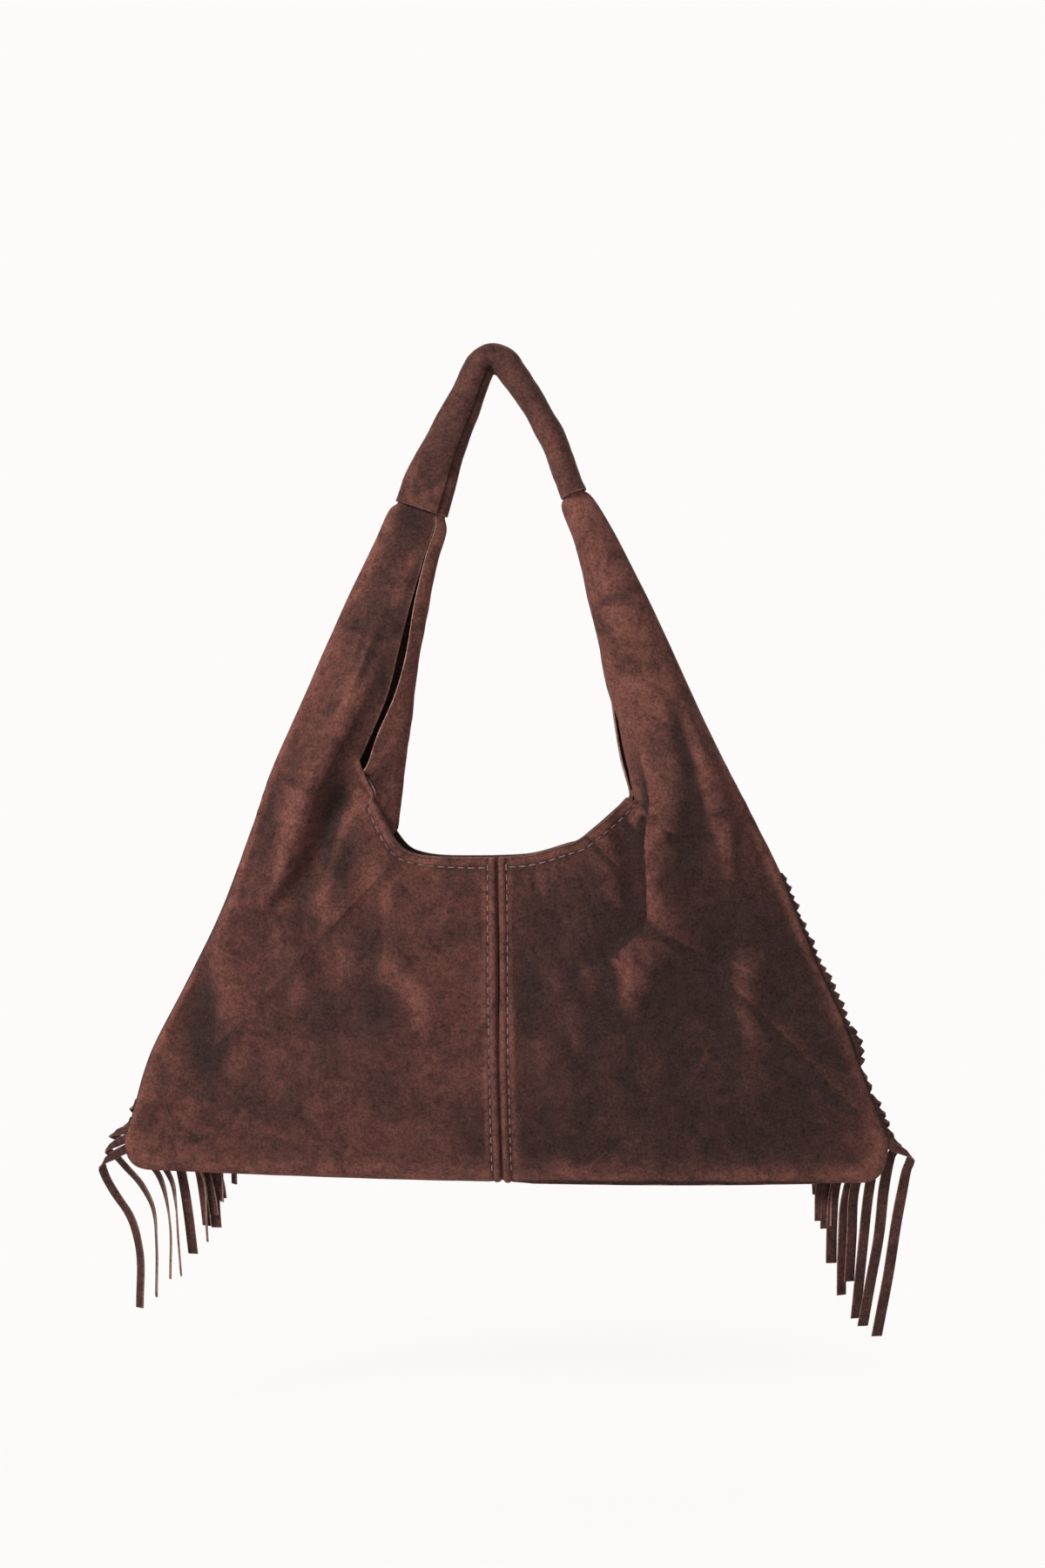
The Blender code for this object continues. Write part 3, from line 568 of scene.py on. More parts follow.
def ear_row(side, face, flat, station, shares, body, rim, ears, seat):
    """The row as it leaves the body of the bag and rolls into the ear."""
    out = -1.0 if face == "near" else 1.0
    places = list(STATIONS) + [place for place, _, _ in INSIDE_SLEEVE]
    row = spline(places, ears, station)
    outer, inner, depth = row[:2], row[2:4], row[4]
    set_back = EDGE_SET_BACK.get((side["name"], face))
    if set_back:
        inner = inner + (side["sign"] * spline(places, set_back, station), 0.0)
    if flat:
        first = -out * spline(places, FLAT_RIM_ANGLES[side["name"]], station)
    else:
        first = out * spline(places, ROUND_RIM_ANGLES, station)
    middle, reach = 0.5 * (outer + inner), 0.5 * (inner - outer)
    angle = np.radians(first + (-out * 180.0 - first) * shares)
    ear_y = -depth * np.sin(angle) + out * seat * shares ** 3
    if not flat:
        sunk = np.clip(-out * ear_y / depth, 0.0, 1.0) * (1.0 - ease(station, 3.4, 4.4))
        ear_y = ear_y - out * RIMS_APART * sunk
    ahead = 0.0 if flat else ROUND_ROLL_AHEAD * (1.0 - ease(shares, 0.3, 0.75))
    rolled = ease(station, ROLL_STATIONS[0], ROLL_STATIONS[1] - ahead)
    x = body[0] + (middle[0] + reach[0] * np.cos(angle) - body[0]) * rolled
    y = body[1] + (ear_y - body[1]) * rolled
    z = body[2] + (middle[1] + reach[1] * np.cos(angle) - body[2]) * rolled
    last, let_go, free = RIM_HOLDS[side["name"], face]
    held_at = float(np.interp(min(station, last), (2.0, 3.0), (0.72, 1.0)))
    held_x, held_z = along(rim, held_at) + (side["sign"] * 0.5 * CLEARANCE, 0.0)
    held = (1.0 - ease(shares, 0.0, 0.3)) * ease(station, 2.0, 2.25) * (1.0 - ease(station, let_go, free))
    if face == "far":
        held_z += FAR_RIM_SHOWS[side["name"]]
    if not flat:
        cross = ease(station, 2.0, 2.6)
        behind = out * FAR_RIM_BEHIND[side["name"]]
        rim_y = body[1][0] * (1.0 - 2.0 * cross) + behind * cross
        y = y + (rim_y - y) * held
    x = x + (held_x - x) * held
    z = z + (held_z - z) * held
    front = np.clip(-out * np.sin(angle) * 1.4, 0.0, 1.0) * (1.0 - ease(station, 4.0, 4.6))
    weight = 1.0 + (front - 1.0) * rolled
    return x, y, z, weight


def panel_surface(side, face):
    """Grid of a panel's middle surface with its folds, and each point's way to the rim and the seams."""
    border, rim, ears = border_points(side), rim_points(side), ear_rows(side)
    crests = fold_crests(FOLDS[side["name"], face])
    out = -1.0 if face == "near" else 1.0
    rows, to_rim, to_border = [], [], []
    stations = station_rows()
    for station in stations:
        ends = panel_row(side, face, station, np.array([0.0, 0.5, 1.0]), border, rim, ears)
        length = max(60.0, float(run_lengths(np.stack(ends[:3], axis=1))[-1]))
        shares = column_shares(length)
        x, y, z, weight = panel_row(side, face, station, shares, border, rim, ears)
        height, lean = fold_field(x, z, crests)
        held = weight * (1.0 - ease(shares, 0.9, 1.0))
        rows.append(np.stack([x - side["sign"] * lean * held, y + out * height * held, z], axis=1))
        to_rim.append(shares * length)
        to_border.append((1.0 - shares) * length)
    return np.array(rows), np.array(to_rim), np.array(to_border), stations


def surface_normals(grid, sign):
    normals = np.cross(np.gradient(grid, axis=0), np.gradient(grid, axis=1)) * sign
    return normals / np.maximum(np.linalg.norm(normals, axis=2, keepdims=True), 1e-9)


def smooth_grid(values, times):
    for _ in range(times):
        padded = np.pad(values, 1, mode="edge")
        beside = padded[:-2, 1:-1] + padded[2:, 1:-1] + padded[1:-1, :-2] + padded[1:-1, 2:]
        values = (beside + 2.0 * values) / 6.0
    return values


def crest_measure(grid, normals, spread):
    """How far each point stands proud of its surroundings, from 0 to 1."""
    bent = np.zeros(grid.shape[:2])
    for axis in (0, 1):
        step = np.gradient(grid, axis=axis)
        turn = np.gradient(normals, axis=axis)
        bent += (step * turn).sum(axis=2) / np.maximum((step * step).sum(axis=2), 0.04)
    return np.clip(smooth_grid(np.clip(bent, -0.12, 0.12), spread) / 0.045, -1.0, 1.0)


def wave(points, scale, seed):
    """Smooth noise at each point of a grid, for slow unevenness of the suede."""
    flat = points.reshape(-1, 3) / scale
    values = [noise.noise(Vector((p[0] + seed, p[1], p[2]))) for p in flat]
    return np.array(values).reshape(points.shape[:2])


def sheet_object(name, grid, normals, crest, turned, material):
    """Closed sheet of suede round its middle surface, its cut edge bulged a little and woolly."""
    outer, inner = grid + normals * 0.5 * SUEDE, grid - normals * 0.5 * SUEDE
    rows, columns = outer.shape[:2]
    count = rows * columns
    index = np.arange(count).reshape(rows, columns)
    a, b = index[:-1, :-1].ravel(), index[:-1, 1:].ravel()
    c, d = index[1:, 1:].ravel(), index[1:, :-1].ravel()
    faces = np.stack([a, b, c, d], axis=1).tolist()
    faces += np.stack([count + d, count + c, count + b, count + a], axis=1).tolist()
    edge = np.concatenate([index[0, :], index[1:, -1], index[-1, -2::-1], index[-2:0:-1, 0]])
    flat_outer, flat_inner = outer.reshape(-1, 3), inner.reshape(-1, 3)
    middle = 0.5 * (flat_outer[edge] + flat_inner[edge])
    run = np.roll(middle, -1, axis=0) - np.roll(middle, 1, axis=0)
    outward = np.cross(run, flat_outer[edge] - flat_inner[edge])
    outward /= np.maximum(np.linalg.norm(outward, axis=1, keepdims=True), 1e-9)
    centre_row = flat_outer[index[rows // 2, columns // 2]]
    sign = 1.0 if ((middle - centre_row) * outward).sum() > 0 else -1.0
    bulge = middle + outward * sign * EDGE_BULGE
    vertices = np.concatenate([flat_outer, flat_inner, bulge])
    side_start = len(faces)
    n = len(edge)
    for i in range(n):
        j = (i + 1) % n
        p, q = 2 * count + i, 2 * count + j
        faces.append([int(edge[j]), int(edge[i]), p, q])
        faces.append([q, p, count + int(edge[i]), count + int(edge[j])])
    mesh = bpy.data.meshes.new(name)
    mesh.from_pydata((vertices * MM).tolist(), [], faces)
    mesh.materials.append(material)
    mesh.materials.append(cut_suede)
    slots = np.zeros(len(faces), np.int32)
    slots[side_start:] = 1
    mesh.polygons.foreach_set("material_index", slots)
    # The inner face gets a fixed share of painted shade and a third of the crest's paler tone; the cut edge
    # gets neither.
    crests = np.concatenate([crest.ravel(), 0.3 * crest.ravel(), np.zeros(n)])
    turns = np.concatenate([turned.ravel(), np.full(count, 0.3), np.zeros(n)])
    for label, measure in (("crest", crests), ("turned", turns)):
        mesh.attributes.new(label, "FLOAT", "POINT").data.foreach_set("value", measure.astype(np.float32))
    return linked_object(mesh, 60)


def linked_object(mesh, sharp_angle):
    """Object of a closed mesh, shaded smooth up to an angle if one is given, its faces turned outward."""
    turn_outward(mesh)
    mesh.shade_smooth()
    if sharp_angle:
        mesh.set_sharp_from_angle(angle=math.radians(sharp_angle))
    built = bpy.data.objects.new(mesh.name, mesh)
    scene.collection.objects.link(built)
    return built


def turn_outward(mesh):
    """Flips the faces if the closed mesh is inside out."""
    corners = np.empty(len(mesh.vertices) * 3)
    mesh.vertices.foreach_get("co", corners)
    corners = corners.reshape(-1, 3)
    mesh.calc_loop_triangles()
    tris = np.empty(len(mesh.loop_triangles) * 3, np.int32)
    mesh.loop_triangles.foreach_get("vertices", tris)
    p, q, r = (corners[tris.reshape(-1, 3)[:, k]] for k in range(3))
    if (np.cross(p, q) * r).sum() < 0:
        mesh.flip_normals()


def shade_and_turned_nap(grid, face):
    """How far each point is darkened by painted shade and turned nap, from the spots listed for its face.
    """
    turned = np.zeros(grid.shape[:2])
    for x, drop, across, down, amount in SHADE_AND_TURNED_SPOTS[face]:
        away = ((grid[..., 0] - x) / across) ** 2 + ((-grid[..., 2] - drop) / down) ** 2
        turned = np.maximum(turned, amount * np.exp(-away))
    return turned


def dressed_panel(side_name, face):
    """A panel's surface with its seam rolls, pads, dents and the suede's own unevenness."""
    side = SIDES[side_name]
    grid, to_rim, to_border, stations = panel_surface(side, face)
    sign = 1.0 if (side_name == "left") == (face == "near") else -1.0
    normals = surface_normals(grid, sign)
    seed = {"left": 3.0, "right": 11.0}[side_name] + {"near": 0.0, "far": 5.0}[face]
    body = (1.0 - ease(stations, 2.4, 3.2))[:, None]
    to_centre = np.abs(grid[:, :, 0]) + 400.0 * (stations > 1.0)[:, None]
    lift = sum(height * wave(grid, length, seed + extra) for height, length, extra in UNEVENNESS)
    lift *= ease(to_rim, 2.0, 14.0) * ease(to_border, 1.0, 14.0) * ease(to_centre, 5.0, 16.0)
    lift *= (1.0 - ease(stations, 4.5, 4.95))[:, None]
    pad = SEAM_PAD[side_name] * ease(to_centre, 0.5, 2.2) * (1.0 - ease(to_centre, 3.2, 5.4))
    groove = -SEAM_GROOVE * np.exp(-((to_centre / GROOVE_WIDTH) ** 2))
    dent = -STITCH_DENT * np.exp(-(((to_centre - STITCH_FROM_SEAM) / DENT_WIDTH) ** 2))
    rim_dent = -STITCH_DENT * np.exp(-(((to_rim - STITCH_FROM_RIM) / DENT_WIDTH) ** 2)) * body
    rim_roll = -RIM_THINNING * (1.0 - ease(to_rim, 0.0, 1.6)) * body
    tuck = -SIDE_TUCK * np.clip(1.0 - to_border / TUCK_REACH, 0.0, 1.0) ** 2
    pucker = PUCKER * np.sin(stations * PUCKERS_A_STATION)[:, None]
    pucker = pucker * np.exp(-((to_border - PUCKER_FROM_SEAM) / PUCKER_WIDTH) ** 2)
    lift = lift + pad + groove + dent + rim_dent + rim_roll + tuck + pucker * body
    grid = grid + normals * lift[..., None]
    normals = surface_normals(grid, sign)
    return grid, normals, stations, to_rim


panel_grids = {}
for face in ("near", "far"):
    for side_name in ("left", "right"):
        grid, normals, stations, to_rim = dressed_panel(side_name, face)
        panel_grids[side_name, face] = (grid, normals, stations, to_rim)
        piece = sheet_object(
            f"{face}_{side_name}_suede",
            grid,
            normals,
            # Paler on crests and along the rim: rubbed wear and a painted highlight.
            crest_measure(grid, normals, 14) + RIM_RUB_AND_HIGHLIGHT * (1.0 - ease(to_rim, 0.0, 1.1)),
            shade_and_turned_nap(grid, face),
            body_suede,
        )
        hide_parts(f"{face}_{side_name}_panel")
        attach(piece, "root")


# Rim facings.
# A strip of the same suede backs each rim from ear to ear. It is sewn to the panels by the
# single line of stitches along the rim, and its pale cut edge shows beside theirs.
FACING_WIDTH = 14.0
FACING_END_STATION = {"flat": 2.75, "round": 2.0}
FACING_GAP = 0.12
FACING_PROUD = 0.8
FACING_SET_BACK_ROWS = 3

# The facing is a darker copy of the body's suede: painted shade for where it lies inside the mouth.
shaded_facing_suede = suede("shaded_facing_suede", (0.080, 0.036, 0.031), NAP_BRUSHED_AND_SHADE, NAP_RUBBED_AND_HIGHLIGHT, 0.6, 0.15)


def make_facing(face):
    rows, row_normals = [], []
    for side_name in ("left", "right"):
        grid, normals, stations, to_rim = panel_grids[side_name, face]
        kind = "flat" if face == FLAT_FACE[side_name] else "round"
        kept = stations < FACING_END_STATION[kind]
        width = int(np.searchsorted(to_rim[0], FACING_WIDTH))
        half = grid[kept, :width] - normals[kept, :width] * (SUEDE + FACING_GAP)
        away = grid[kept, :1] - grid[kept, 3:4]
        away /= np.linalg.norm(away, axis=2, keepdims=True)
        half += away * FACING_PROUD * (1.0 - ease(to_rim[kept, :width], 0.0, 6.0))[..., None]
        half_normals = normals[kept, :width]
        order = -1 if side_name == "left" else 1
        rows.extend(half[FACING_SET_BACK_ROWS:][::order])
        row_normals.extend(half_normals[FACING_SET_BACK_ROWS:][::order])
    grid, normals = np.array(rows), np.array(row_normals)
    piece = sheet_object(
        f"{face}_rim_strip",
        grid,
        normals,
        np.zeros(grid.shape[:2]),
        # An even share of painted shade over the whole strip.
        np.full(grid.shape[:2], 0.5),
        shaded_facing_suede,
    )
    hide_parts(f"{face}_rim_facing")
    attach(piece, "root")


for face in ("near", "far"):
    make_facing(face)


# Handle sleeve.
# A strip of suede is wrapped round both ears where they meet and lapped over itself, so one
# cut edge runs slantwise down its near side. It is sewn to the ears under its open ends.
SLEEVE_OVERLAP_ANGLE = 40.0
# The flap's angle round the left leg of the handle, and how far it winds to the far side on the right.
FLAP_ANGLE, FLAP_WIND = 52.0, 110.0
SLEEVE_RINGS, SLEEVE_SIDES = 190, 130

sleeve_suede = suede("sleeve_suede", (0.086, 0.036, 0.030), NAP_BRUSHED_AND_SHADE, NAP_RUBBED_AND_HIGHLIGHT, 0.7, 0.16)


def make_sleeve():
    turns = np.linspace(0.0, 1.0, SLEEVE_SIDES)
    rings = []
    for share in np.linspace(0.0, 1.0, SLEEVE_RINGS):
        middle, inward, half_width, half_depth = handle_section(share)
        flap = FLAP_ANGLE - FLAP_WIND * float(ease(share, 0.45, 0.75))
        angle = np.radians(flap + (360.0 + SLEEVE_OVERLAP_ANGLE) * turns)
        under = (SUEDE + 0.5 * CLEARANCE) * ease(turns, 0.80, 0.89)
        x = middle[0] + inward[0] * (half_width - under) * np.cos(angle)
        z = middle[1] + inward[1] * (half_width - under) * np.cos(angle)
        rings.append(np.stack([x, -(half_depth - under) * np.sin(angle), z], axis=1))
    grid = np.array(rings)
    normals = surface_normals(grid, 1.0)
    share = np.linspace(0.0, 1.0, SLEEVE_RINGS)[:, None]
    lapped = 1.0 - ease(turns, 0.70, 0.80)[None, :]
    lift = 0.55 * wave(grid, 13.0, 21.0) + 0.22 * wave(grid, 5.0, 23.0)
    lift = lift * lapped * ease(share, 0.0, 0.03) * (1.0 - ease(share, 0.97, 1.0))
    grid = grid + normals * lift[..., None]
    normals = surface_normals(grid, 1.0)
    piece = sheet_object(
        "handle_wrap",
        grid,
        normals,
        crest_measure(grid, normals, 6) * 0.5,
        # Darker round the top of the handle.
        0.75 * np.exp(-(((grid[..., 2] + 2.0) / 26.0) ** 2)),
        sleeve_suede,
    )
    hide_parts("handle_sleeve")
    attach(piece, "root")


make_sleeve()


# Fringes.
# A strip of suede is cut into strands and its header is caught in each side seam. The strands
# stand out of the seam a little, fold over to the far side and hang, each with its own twist.
STRAND_WIDTH, STRAND_CUT, STRAND_THICKNESS, STRAND_CORNER = 5.4, 0.2, 1.1, 0.25
FLARE = {"left": 1.16, "right": 1.18}
STRAND_LENGTH = 87.0
STRAND_TILT = 46.0
STAND_OUT = {"left": -1.0, "right": 1.2}
STAND_OUT_SPREAD = {"left": 0.15, "right": 0.8}
# Where the right strands bunch and push further out, as (drop, reach, amount).
BUNCHES = {"left": (), "right": ((350.0, 13.0, 1.6), (384.0, 8.0, 3.6))}
HANG_INSIDE = {"left": 2.6, "right": 1.2}
DRIFT = {"left": 38.0, "right": 22.0}
# The strands that show below the bag, by their place from the lowest one up: how far each is
# turned edge-on at its top and at its end, and its way as (x, drop) from its shoulder down.
LOW_STRANDS = {
    "left": {
        0: (5, 36, ((229, 453), (229, 460), (223.5, 471), (214, 486), (209.5, 503), (209.2, 538.5))),
        1: (20, 72, ((226, 444.5), (220, 453), (209, 465), (201, 480), (199, 500), (199, 531.5))),
        2: (10, 74, ((223, 436), (205, 452), (197.5, 461), (193, 475), (190.7, 490), (190.7, 521))),
        3: (10, 78, ((219, 430), (197, 452), (190, 463), (187, 480), (186, 497), (184.5, 519.5))),
        5: (5, 12, ((215.5, 420), (186, 452), (183.5, 463), (181, 480), (178, 507.5))),
        7: (20, 25, ((210, 409), (176, 452), (173.5, 462), (171, 478), (169.5, 491))),
        8: (20, 30, ((207, 404), (171, 452), (169, 462), (166, 475), (165, 484.5))),
        10: (10, 25, ((202, 394), (166, 452), (162.5, 462), (160.5, 475))),
    },
    "right": {
        0: (5, 10, ((233.2, 448.5), (231, 459), (225.5, 487), (221, 515), (213.5, 552.5))),
        1: (5, 12, ((226, 441), (222, 452), (219.2, 465), (215.5, 495), (209.7, 525), (205.6, 546.5))),
        2: (15, 20, ((222, 435), (213, 455), (210.5, 467.5), (206, 503), (201.6, 542))),
        3: (25, 30, ((219, 428.5), (204, 452), (197.5, 470), (194.5, 500), (193.7, 529))),
        4: (10, 20, ((216.5, 423), (207, 452), (202, 467.5), (200, 495), (198.3, 521.5))),
        5: (10, 10, ((214, 417), (197, 450), (191, 467.5), (189, 490), (188.4, 511.5))),
        7: (20, 20, ((209, 407), (193, 450), (187, 467.5), (185.1, 491.5))),
        8: (10, 10, ((206.5, 402), (188, 450), (183, 467.5), (182.1, 487))),
    },
}
# How much further out they hang than listed, and the ones whose shoulders do so too.
LOW_STRANDS_OUT = {"left": 4.8, "right": -0.8}
SHOULDERS_OUT = (0, 1, 2)
STRAND_RINGS = 34
CUT_SIDES = (0, 3, 4, 7)
# Where a strand folds behind the seam, and how far it hangs off the far panel.
FOLD_BEHIND, OFF_PANEL = 1.6, 4.2
FALLEN_BY, BEHIND_PANEL_RISE = 0.62, 6.0

fringe_suede = suede("fringe_suede", (0.082, 0.037, 0.033), NAP_BRUSHED_AND_SHADE, NAP_RUBBED_AND_HIGHLIGHT, 0.8, 0.16)


def strand_section():
    """Points round a strand as (across, through), with softened corners."""
    w, t = 0.5 * STRAND_WIDTH, 0.5 * STRAND_THICKNESS
    c = w - STRAND_CORNER
    return (w, 0.0), (c, t), (0.0, t), (-c, t), (-w, 0.0), (-c, -t), (0.0, -t), (c, -t)


def hanging_way(side, base, tangent, from_end, random):
    """Shoulder of a strand as (x, z), and its way down from there in as many points as wanted."""
    sign, name = side["sign"], side["name"]
    shown = LOW_STRANDS[name].get(from_end)
    if shown:
        points = np.array(shown[2], float)
        points[0 if from_end in SHOULDERS_OUT else 1:, 0] += LOW_STRANDS_OUT[name]
        points *= (sign, -1.0)
        lengths = run_lengths(points)
        way = [spline(lengths, points, place) for place in np.linspace(0.0, lengths[-1], 12)]
        return points[0], way[1:], shown[:2]
    stand_out = STAND_OUT[name] + STAND_OUT_SPREAD[name] * (2.0 * random.random() - 1.0)
    for drop, reach, amount in BUNCHES[name]:
        stand_out += amount * math.exp(-(((-base[2] - drop) / reach) ** 2))
    shoulder = base[::2] + stand_out * np.array([sign * abs(tangent[2]), abs(tangent[0])])
    drift = DRIFT[name] + 4.0 * (random.random() - 0.5)
    length = STRAND_LENGTH * (0.94 + 0.06 * random.random())
    curl = 4.0 * (random.random() - 0.5)
    way = []
    for f in np.linspace(0.0, 1.0, 9):
        fallen = 1.0 - (1.0 - min(1.0, f / FALLEN_BY)) ** 2
        x = shoulder[0] - sign * (HANG_INSIDE[name] + drift * fallen) + curl * math.sin(3.1 * f) * f
        way.append((x, shoulder[1] - 4.6 - (length - 9.0) * f))
    tilt = STRAND_TILT + 16.0 * (random.random() - 0.5)
    return shoulder, way, (tilt, tilt + 80.0 * (random.random() - 0.55))


def strand_path(side, base, tangent, from_end, random):
    """Middle points and width directions of one strand, from the seam to its free end."""
    sign = side["sign"]
    shoulder, way, tilts = hanging_way(side, base, tangent, from_end, random)
    outward = np.array([sign * abs(tangent[2]), 0.0, abs(tangent[0])])
    fold = np.array([shoulder[0], FOLD_BEHIND, shoulder[1]])
    keys = [base - outward * 1.5, 0.5 * (base + fold) - (0.0, 0.5, 0.0), fold]
    turns = [0.0, 0.0, 0.5]
    y_so_far = 0.0
    off_panel = 0.5 * STRAND_WIDTH * math.sin(math.radians(STRAND_TILT)) + OFF_PANEL
    crests = fold_crests(FOLDS[side["name"], "far"])
    for step, (x, z) in enumerate(way):
        wall = 0.0
        if z > -BOTTOM_DROP + BEHIND_PANEL_RISE:
            inner_x = x - sign * 2.0
            height = fold_field(np.array([inner_x]), np.array([z]), crests)[0]
            wall = float(body_depth(side, inner_x, z)) + max(0.0, float(height[0]))
        y_so_far = max(y_so_far, wall + off_panel)
        keys.append(np.array([x, y_so_far + 1.5 * math.sin(0.25 * step + from_end), z]))
        turns.append(1.0)
    keys = np.array(keys)
    places = run_lengths(keys)
    centres, widths = [], []
    for place in np.linspace(0.0, places[-1], STRAND_RINGS):
        centres.append(spline(places, keys, place))
        turn = 0.5 * math.pi * float(np.interp(place, places, turns))
        turned = float(ease(place, places[3], 0.7 * places[-1]))
        tilt = math.radians(tilts[0] + (tilts[1] - tilts[0]) * turned)
        across = np.array([sign * math.cos(tilt), math.sin(tilt), 0.0])
        width = -tangent * math.cos(turn) - across * math.sin(turn)
        flare = 1.0 + (FLARE[side["name"]] - 1.0) * ease(place, places[2], places[5])
        widths.append(flare * width / np.linalg.norm(width))
    return np.array(centres), np.array(widths)


def tube_faces(first, rings, n):
    """Faces of a closed tube: the rings of n points joined in order, then its two ends."""
    faces = []
    for low in range(first, first + (rings - 1) * n, n):
        for k in range(n):
            j = (k + 1) % n
            faces.append((low + k, low + j, low + n + j, low + n + k))
    end = first + (rings - 1) * n
    return faces + [tuple(range(first + n - 1, first - 1, -1)), tuple(range(end, end + n))]


def make_fringe(side_name):
    side = SIDES[side_name]
    random = np.random.default_rng({"left": 5, "right": 8}[side_name])
    border = border_points(side)
    top, end = fraction_at_drop(border, FRINGE_TOP_DROP), fraction_at_drop(border, FRINGE_END_DROP)
    length = run_lengths(border)[-1] * (top - end)
    pitch = STRAND_WIDTH + STRAND_CUT
    strands = int(length // pitch)
    section = strand_section()
    n = len(section)
    vertices, faces, slots = [], [], []
    for i in range(strands):
        place = top - (i * pitch + 0.5 * STRAND_WIDTH) / length * (top - end)
        here, ahead = along(border, place), along(border, place - 0.01)
        run = (ahead - here) / np.linalg.norm(ahead - here)
        base = np.array([here[0], 0.0, here[1]])
        tangent = np.array([run[0], 0.0, run[1]])
        centres, widths = strand_path(side, base, tangent, strands - 1 - i, random)
        runs = np.gradient(centres, axis=0)
        throughs = np.cross(runs, widths)
        throughs /= np.linalg.norm(throughs, axis=1, keepdims=True)
        first = len(vertices)
        for c, w, t in zip(centres, widths, throughs):
            vertices.extend([c + w * u + t * v for u, v in section])
        faces.extend(tube_faces(first, len(centres), n))
        slots.extend([1 if k in CUT_SIDES else 0 for k in range(n)] * (len(centres) - 1) + [1, 1])
    mesh = bpy.data.meshes.new(f"{side_name}_strands")
    mesh.from_pydata((np.array(vertices) * MM).tolist(), [], faces)
    mesh.materials.append(fringe_suede)
    mesh.materials.append(cut_suede)
    mesh.polygons.foreach_set("material_index", slots)
    piece = linked_object(mesh, 50)
    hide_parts(f"{side_name}_fringe")
    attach(piece, "root")


for side_name in ("left", "right"):
    make_fringe(side_name)


# Topstitching.
# Dull pale thread holds the seam allowances down in twin lines beside each centre seam, and one
# line sews each facing along its rim. Every stitch sinks into the suede at both needle holes.
STITCH_PITCH, STITCH_LENGTH, THREAD_RADIUS = 5.8, 3.9, 0.38
# Rings of a stitch: how far along it, how high above the suede and how thick each is.
STITCH_RINGS = (
    (-0.04, -0.9, 0.7), (0.06, -0.1, 1.0), (0.25, 0.35, 1.0), (0.5, 0.45, 1.0),
    (0.75, 0.35, 1.0), (0.94, -0.1, 1.0), (1.04, -0.9, 0.7),
)
STITCH_SIDES = 6
THREAD = (0.33, 0.225, 0.19)


def thread_material():
    material, tree, shader = new_material("sewing_thread")
    place = tree.nodes.new("ShaderNodeTexCoord").outputs["Object"]
    ply = add_noise(tree, place, 2600.0, 3.0, 0.6)
    dust = add_noise(tree, place, 60.0, 4.0, 0.6)
    colour = mix_colours(tree, add_range(tree, ply, 0.35, 0.7), THREAD, (0.15, 0.09, 0.075))
    colour = mix_colours(tree, add_range(tree, dust, 0.46, 0.62, 0.0, 0.75), colour, (0.12, 0.060, 0.050))
    tree.links.new(colour, shader.inputs["Base Color"])
    shader.inputs["Roughness"].default_value = 0.7
    return material


thread = thread_material()


def stitch_ring(centre, side_way, up, radius):
    angles = np.linspace(0.0, 2.0 * math.pi, STITCH_SIDES, endpoint=False)
    return [centre + side_way * radius * math.cos(a) + up * radius * math.sin(a) for a in angles]


def add_stitch(vertices, faces, start, end, up_start, up_end):
    """One stitch: a thread that rises out of one needle hole and sinks into the next."""
    way = end - start
    first = len(vertices)
    for f, rise, fat in STITCH_RINGS:
        up = up_start + (up_end - up_start) * f
        up = up / np.linalg.norm(up)
        side_way = np.cross(way, up)
        side_way = side_way / np.linalg.norm(side_way)
        centre = start + way * f + up * rise * THREAD_RADIUS * 1.6
        vertices.extend(stitch_ring(centre, side_way, up, THREAD_RADIUS * fat))
    faces.extend(tube_faces(first, len(STITCH_RINGS), STITCH_SIDES))


def stitch_line(vertices, faces, line, normals, random):
    lengths = run_lengths(line)
    count = int(lengths[-1] // STITCH_PITCH)
    for i in range(count):
        start = (i + 0.15) * STITCH_PITCH
        end = start + STITCH_LENGTH + 0.4 * (random.random() - 0.5)
        ends = []
        for place in (start, end):
            point = np.array([np.interp(place, lengths, line[:, k]) for k in range(3)])
            up = np.array([np.interp(place, lengths, normals[:, k]) for k in range(3)])
            ends.append((point + 0.12 * (random.random(3) - 0.5), up / np.linalg.norm(up)))
        add_stitch(vertices, faces, ends[0][0], ends[1][0], ends[0][1], ends[1][1])


def thread_object(name, vertices, faces):
    mesh = bpy.data.meshes.new(name)
    mesh.from_pydata((np.array(vertices) * MM).tolist(), [], faces)
    mesh.materials.append(thread)
    piece = linked_object(mesh, None)
    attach(piece, "root")


for face in ("near", "far"):
    random = np.random.default_rng(2)
    for side_name in ("left", "right"):
        vertices, faces = [], []
        grid, normals, stations, to_rim = panel_grids[side_name, face]
        centre_rows = grid[:, :, 0] * SIDES[side_name]["sign"]
        line, ups = [], []
        for column in range(4, grid.shape[1] - 6):
            row = float(np.interp(STITCH_FROM_SEAM, centre_rows[:40, column], np.arange(40)))
            low, f = int(row), row - int(row)
            point = grid[low, column] * (1 - f) + grid[low + 1, column] * f
            up = normals[low, column]
            line.append(point + up * 0.5 * SUEDE)
            ups.append(up)
        stitch_line(vertices, faces, np.array(line), np.array(ups), random)
        column = int(np.searchsorted(to_rim[0], STITCH_FROM_RIM))
        kept = (stations > 0.03) & (stations < 2.3)
        line = grid[kept, column] + normals[kept, column] * 0.5 * SUEDE
        stitch_line(vertices, faces, line, normals[kept, column], random)
        thread_object(f"{face}_{side_name}_topstitch", vertices, faces)


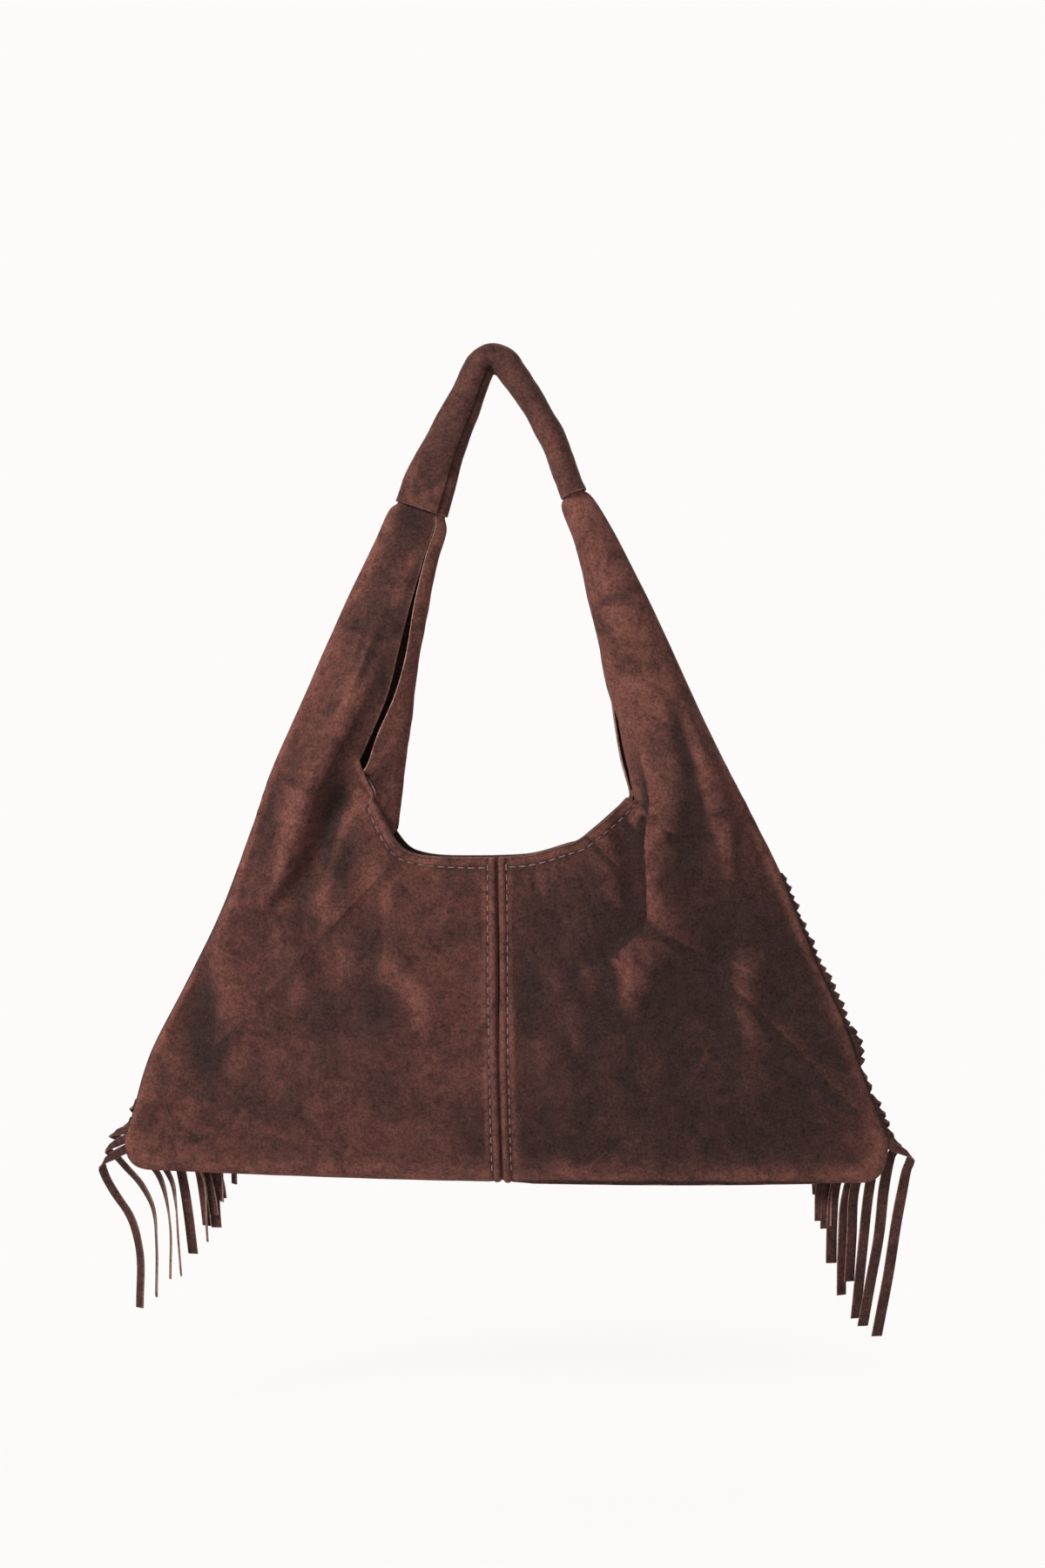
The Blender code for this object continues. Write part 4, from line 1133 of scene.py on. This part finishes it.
# Studio.
# A plain pale floor under the hanging bag, soft daylight from the upper left and a paler fill
# from the right. The floor fades into the white background away from the bag.
CAMERA_DISTANCE = 1.30
CAMERA_YAW = 4.0
CAMERA_ROLL = -0.62
VIEW_CENTRE = Vector((0.0139, 0.0, -0.235))
VIEW_HEIGHT = 0.9005
FLOOR_DROP, FLOOR_HALF = 0.60, 3.0
FLOOR_COLOUR = (0.86, 0.87, 0.89, 1.0)
AMBIENT_COLOUR, AMBIENT_STRENGTH = (0.95, 0.97, 1.0, 1.0), 0.24
# Each lamp's place, aim, size, power and colour.
LAMPS = {
    "key": ((-1.05, -1.0, 0.75), (0.0, 0.0, -0.25), 0.7, 27.0, (1.0, 0.96, 0.92)),
    "fill": ((0.5, -1.6, 0.3), (0.0, 0.0, -0.3), 1.2, 4.0, (0.96, 0.98, 1.0)),
    "back": ((0.3, 1.2, 0.6), (0.0, 0.0, -0.25), 1.2, 11.0, (1.0, 1.0, 1.0)),
}
BACKDROP = (0.985, 0.965, 0.952)


def place_camera():
    data = bpy.data.cameras.new("camera")
    camera = bpy.data.objects.new("camera", data)
    scene.collection.objects.link(camera)
    yaw = math.radians(CAMERA_YAW)
    back = Vector((math.sin(yaw), -math.cos(yaw), 0.0))
    camera.location = VIEW_CENTRE + back * CAMERA_DISTANCE
    turn = (-back).to_track_quat("-Z", "Y").to_matrix().to_4x4()
    turn = turn @ Matrix.Rotation(math.radians(CAMERA_ROLL), 4, "Z")
    camera.matrix_world = Matrix.Translation(camera.location) @ turn
    data.sensor_fit = "AUTO"
    data.sensor_width = 36.0
    data.lens = data.sensor_width * CAMERA_DISTANCE / VIEW_HEIGHT
    scene.camera = camera


def area_light(name, place, aim, size, power, colour):
    data = bpy.data.lights.new(name, "AREA")
    data.shape = "DISK"
    data.size = size
    data.energy = power
    data.color = colour
    lamp = bpy.data.objects.new(name, data)
    scene.collection.objects.link(lamp)
    lamp.location = place
    lamp.rotation_mode = "QUATERNION"
    lamp.rotation_quaternion = (Vector(aim) - Vector(place)).to_track_quat("-Z", "Y")


def seen_directly(tree):
    """1 where a ray comes from the camera or a reflection, so that the backdrop shows its own white."""
    path = tree.nodes.new("ShaderNodeLightPath")
    seen = add_math(tree, "MAXIMUM", path.outputs["Is Camera Ray"], path.outputs["Is Glossy Ray"])
    return add_math(tree, "MAXIMUM", seen, path.outputs["Is Transmission Ray"])


def floor_material():
    material, tree, _ = new_material("studio_floor")
    tree.nodes.clear()
    output = tree.nodes.new("ShaderNodeOutputMaterial")
    diffuse = tree.nodes.new("ShaderNodeBsdfDiffuse")
    diffuse.inputs["Color"].default_value = FLOOR_COLOUR
    bright = tree.nodes.new("ShaderNodeEmission")
    bright.inputs["Color"].default_value = (*BACKDROP, 1.0)
    place = tree.nodes.new("ShaderNodeTexCoord").outputs["Object"]
    away = tree.nodes.new("ShaderNodeVectorMath")
    away.operation = "LENGTH"
    tree.links.new(place, away.inputs[0])
    fade = add_range(tree, away.outputs["Value"], 0.12, 0.42, 0.93, 1.0)
    share = add_math(tree, "MULTIPLY", seen_directly(tree), fade)
    mix = tree.nodes.new("ShaderNodeMixShader")
    tree.links.new(share, mix.inputs[0])
    tree.links.new(diffuse.outputs[0], mix.inputs[1])
    tree.links.new(bright.outputs[0], mix.inputs[2])
    tree.links.new(mix.outputs[0], output.inputs["Surface"])
    return material


def make_floor():
    mesh = bpy.data.meshes.new("floor")
    corners = ((-1, -1), (1, -1), (1, 1), (-1, 1))
    mesh.from_pydata([(FLOOR_HALF * x, FLOOR_HALF * y, 0.0) for x, y in corners], [], [(0, 1, 2, 3)])
    mesh.materials.append(floor_material())
    floor = bpy.data.objects.new("floor", mesh)
    floor.location = (0.0, 0.0, -FLOOR_DROP)
    scene.collection.objects.link(floor)


def light_world():
    world = bpy.data.worlds.new("studio")
    scene.world = world
    world.use_nodes = True
    tree = world.node_tree
    tree.nodes.clear()
    output = tree.nodes.new("ShaderNodeOutputWorld")
    ambient = tree.nodes.new("ShaderNodeBackground")
    ambient.inputs["Color"].default_value = AMBIENT_COLOUR
    ambient.inputs["Strength"].default_value = AMBIENT_STRENGTH
    white = tree.nodes.new("ShaderNodeBackground")
    white.inputs["Color"].default_value = (*BACKDROP, 1.0)
    white.inputs["Strength"].default_value = 1.0
    mix = tree.nodes.new("ShaderNodeMixShader")
    tree.links.new(seen_directly(tree), mix.inputs[0])
    tree.links.new(ambient.outputs[0], mix.inputs[1])
    tree.links.new(white.outputs[0], mix.inputs[2])
    tree.links.new(mix.outputs[0], output.inputs["Surface"])


place_camera()
make_floor()
light_world()
for lamp_name, lamp in LAMPS.items():
    area_light(lamp_name, *lamp)
scene.view_settings.view_transform = "Standard"
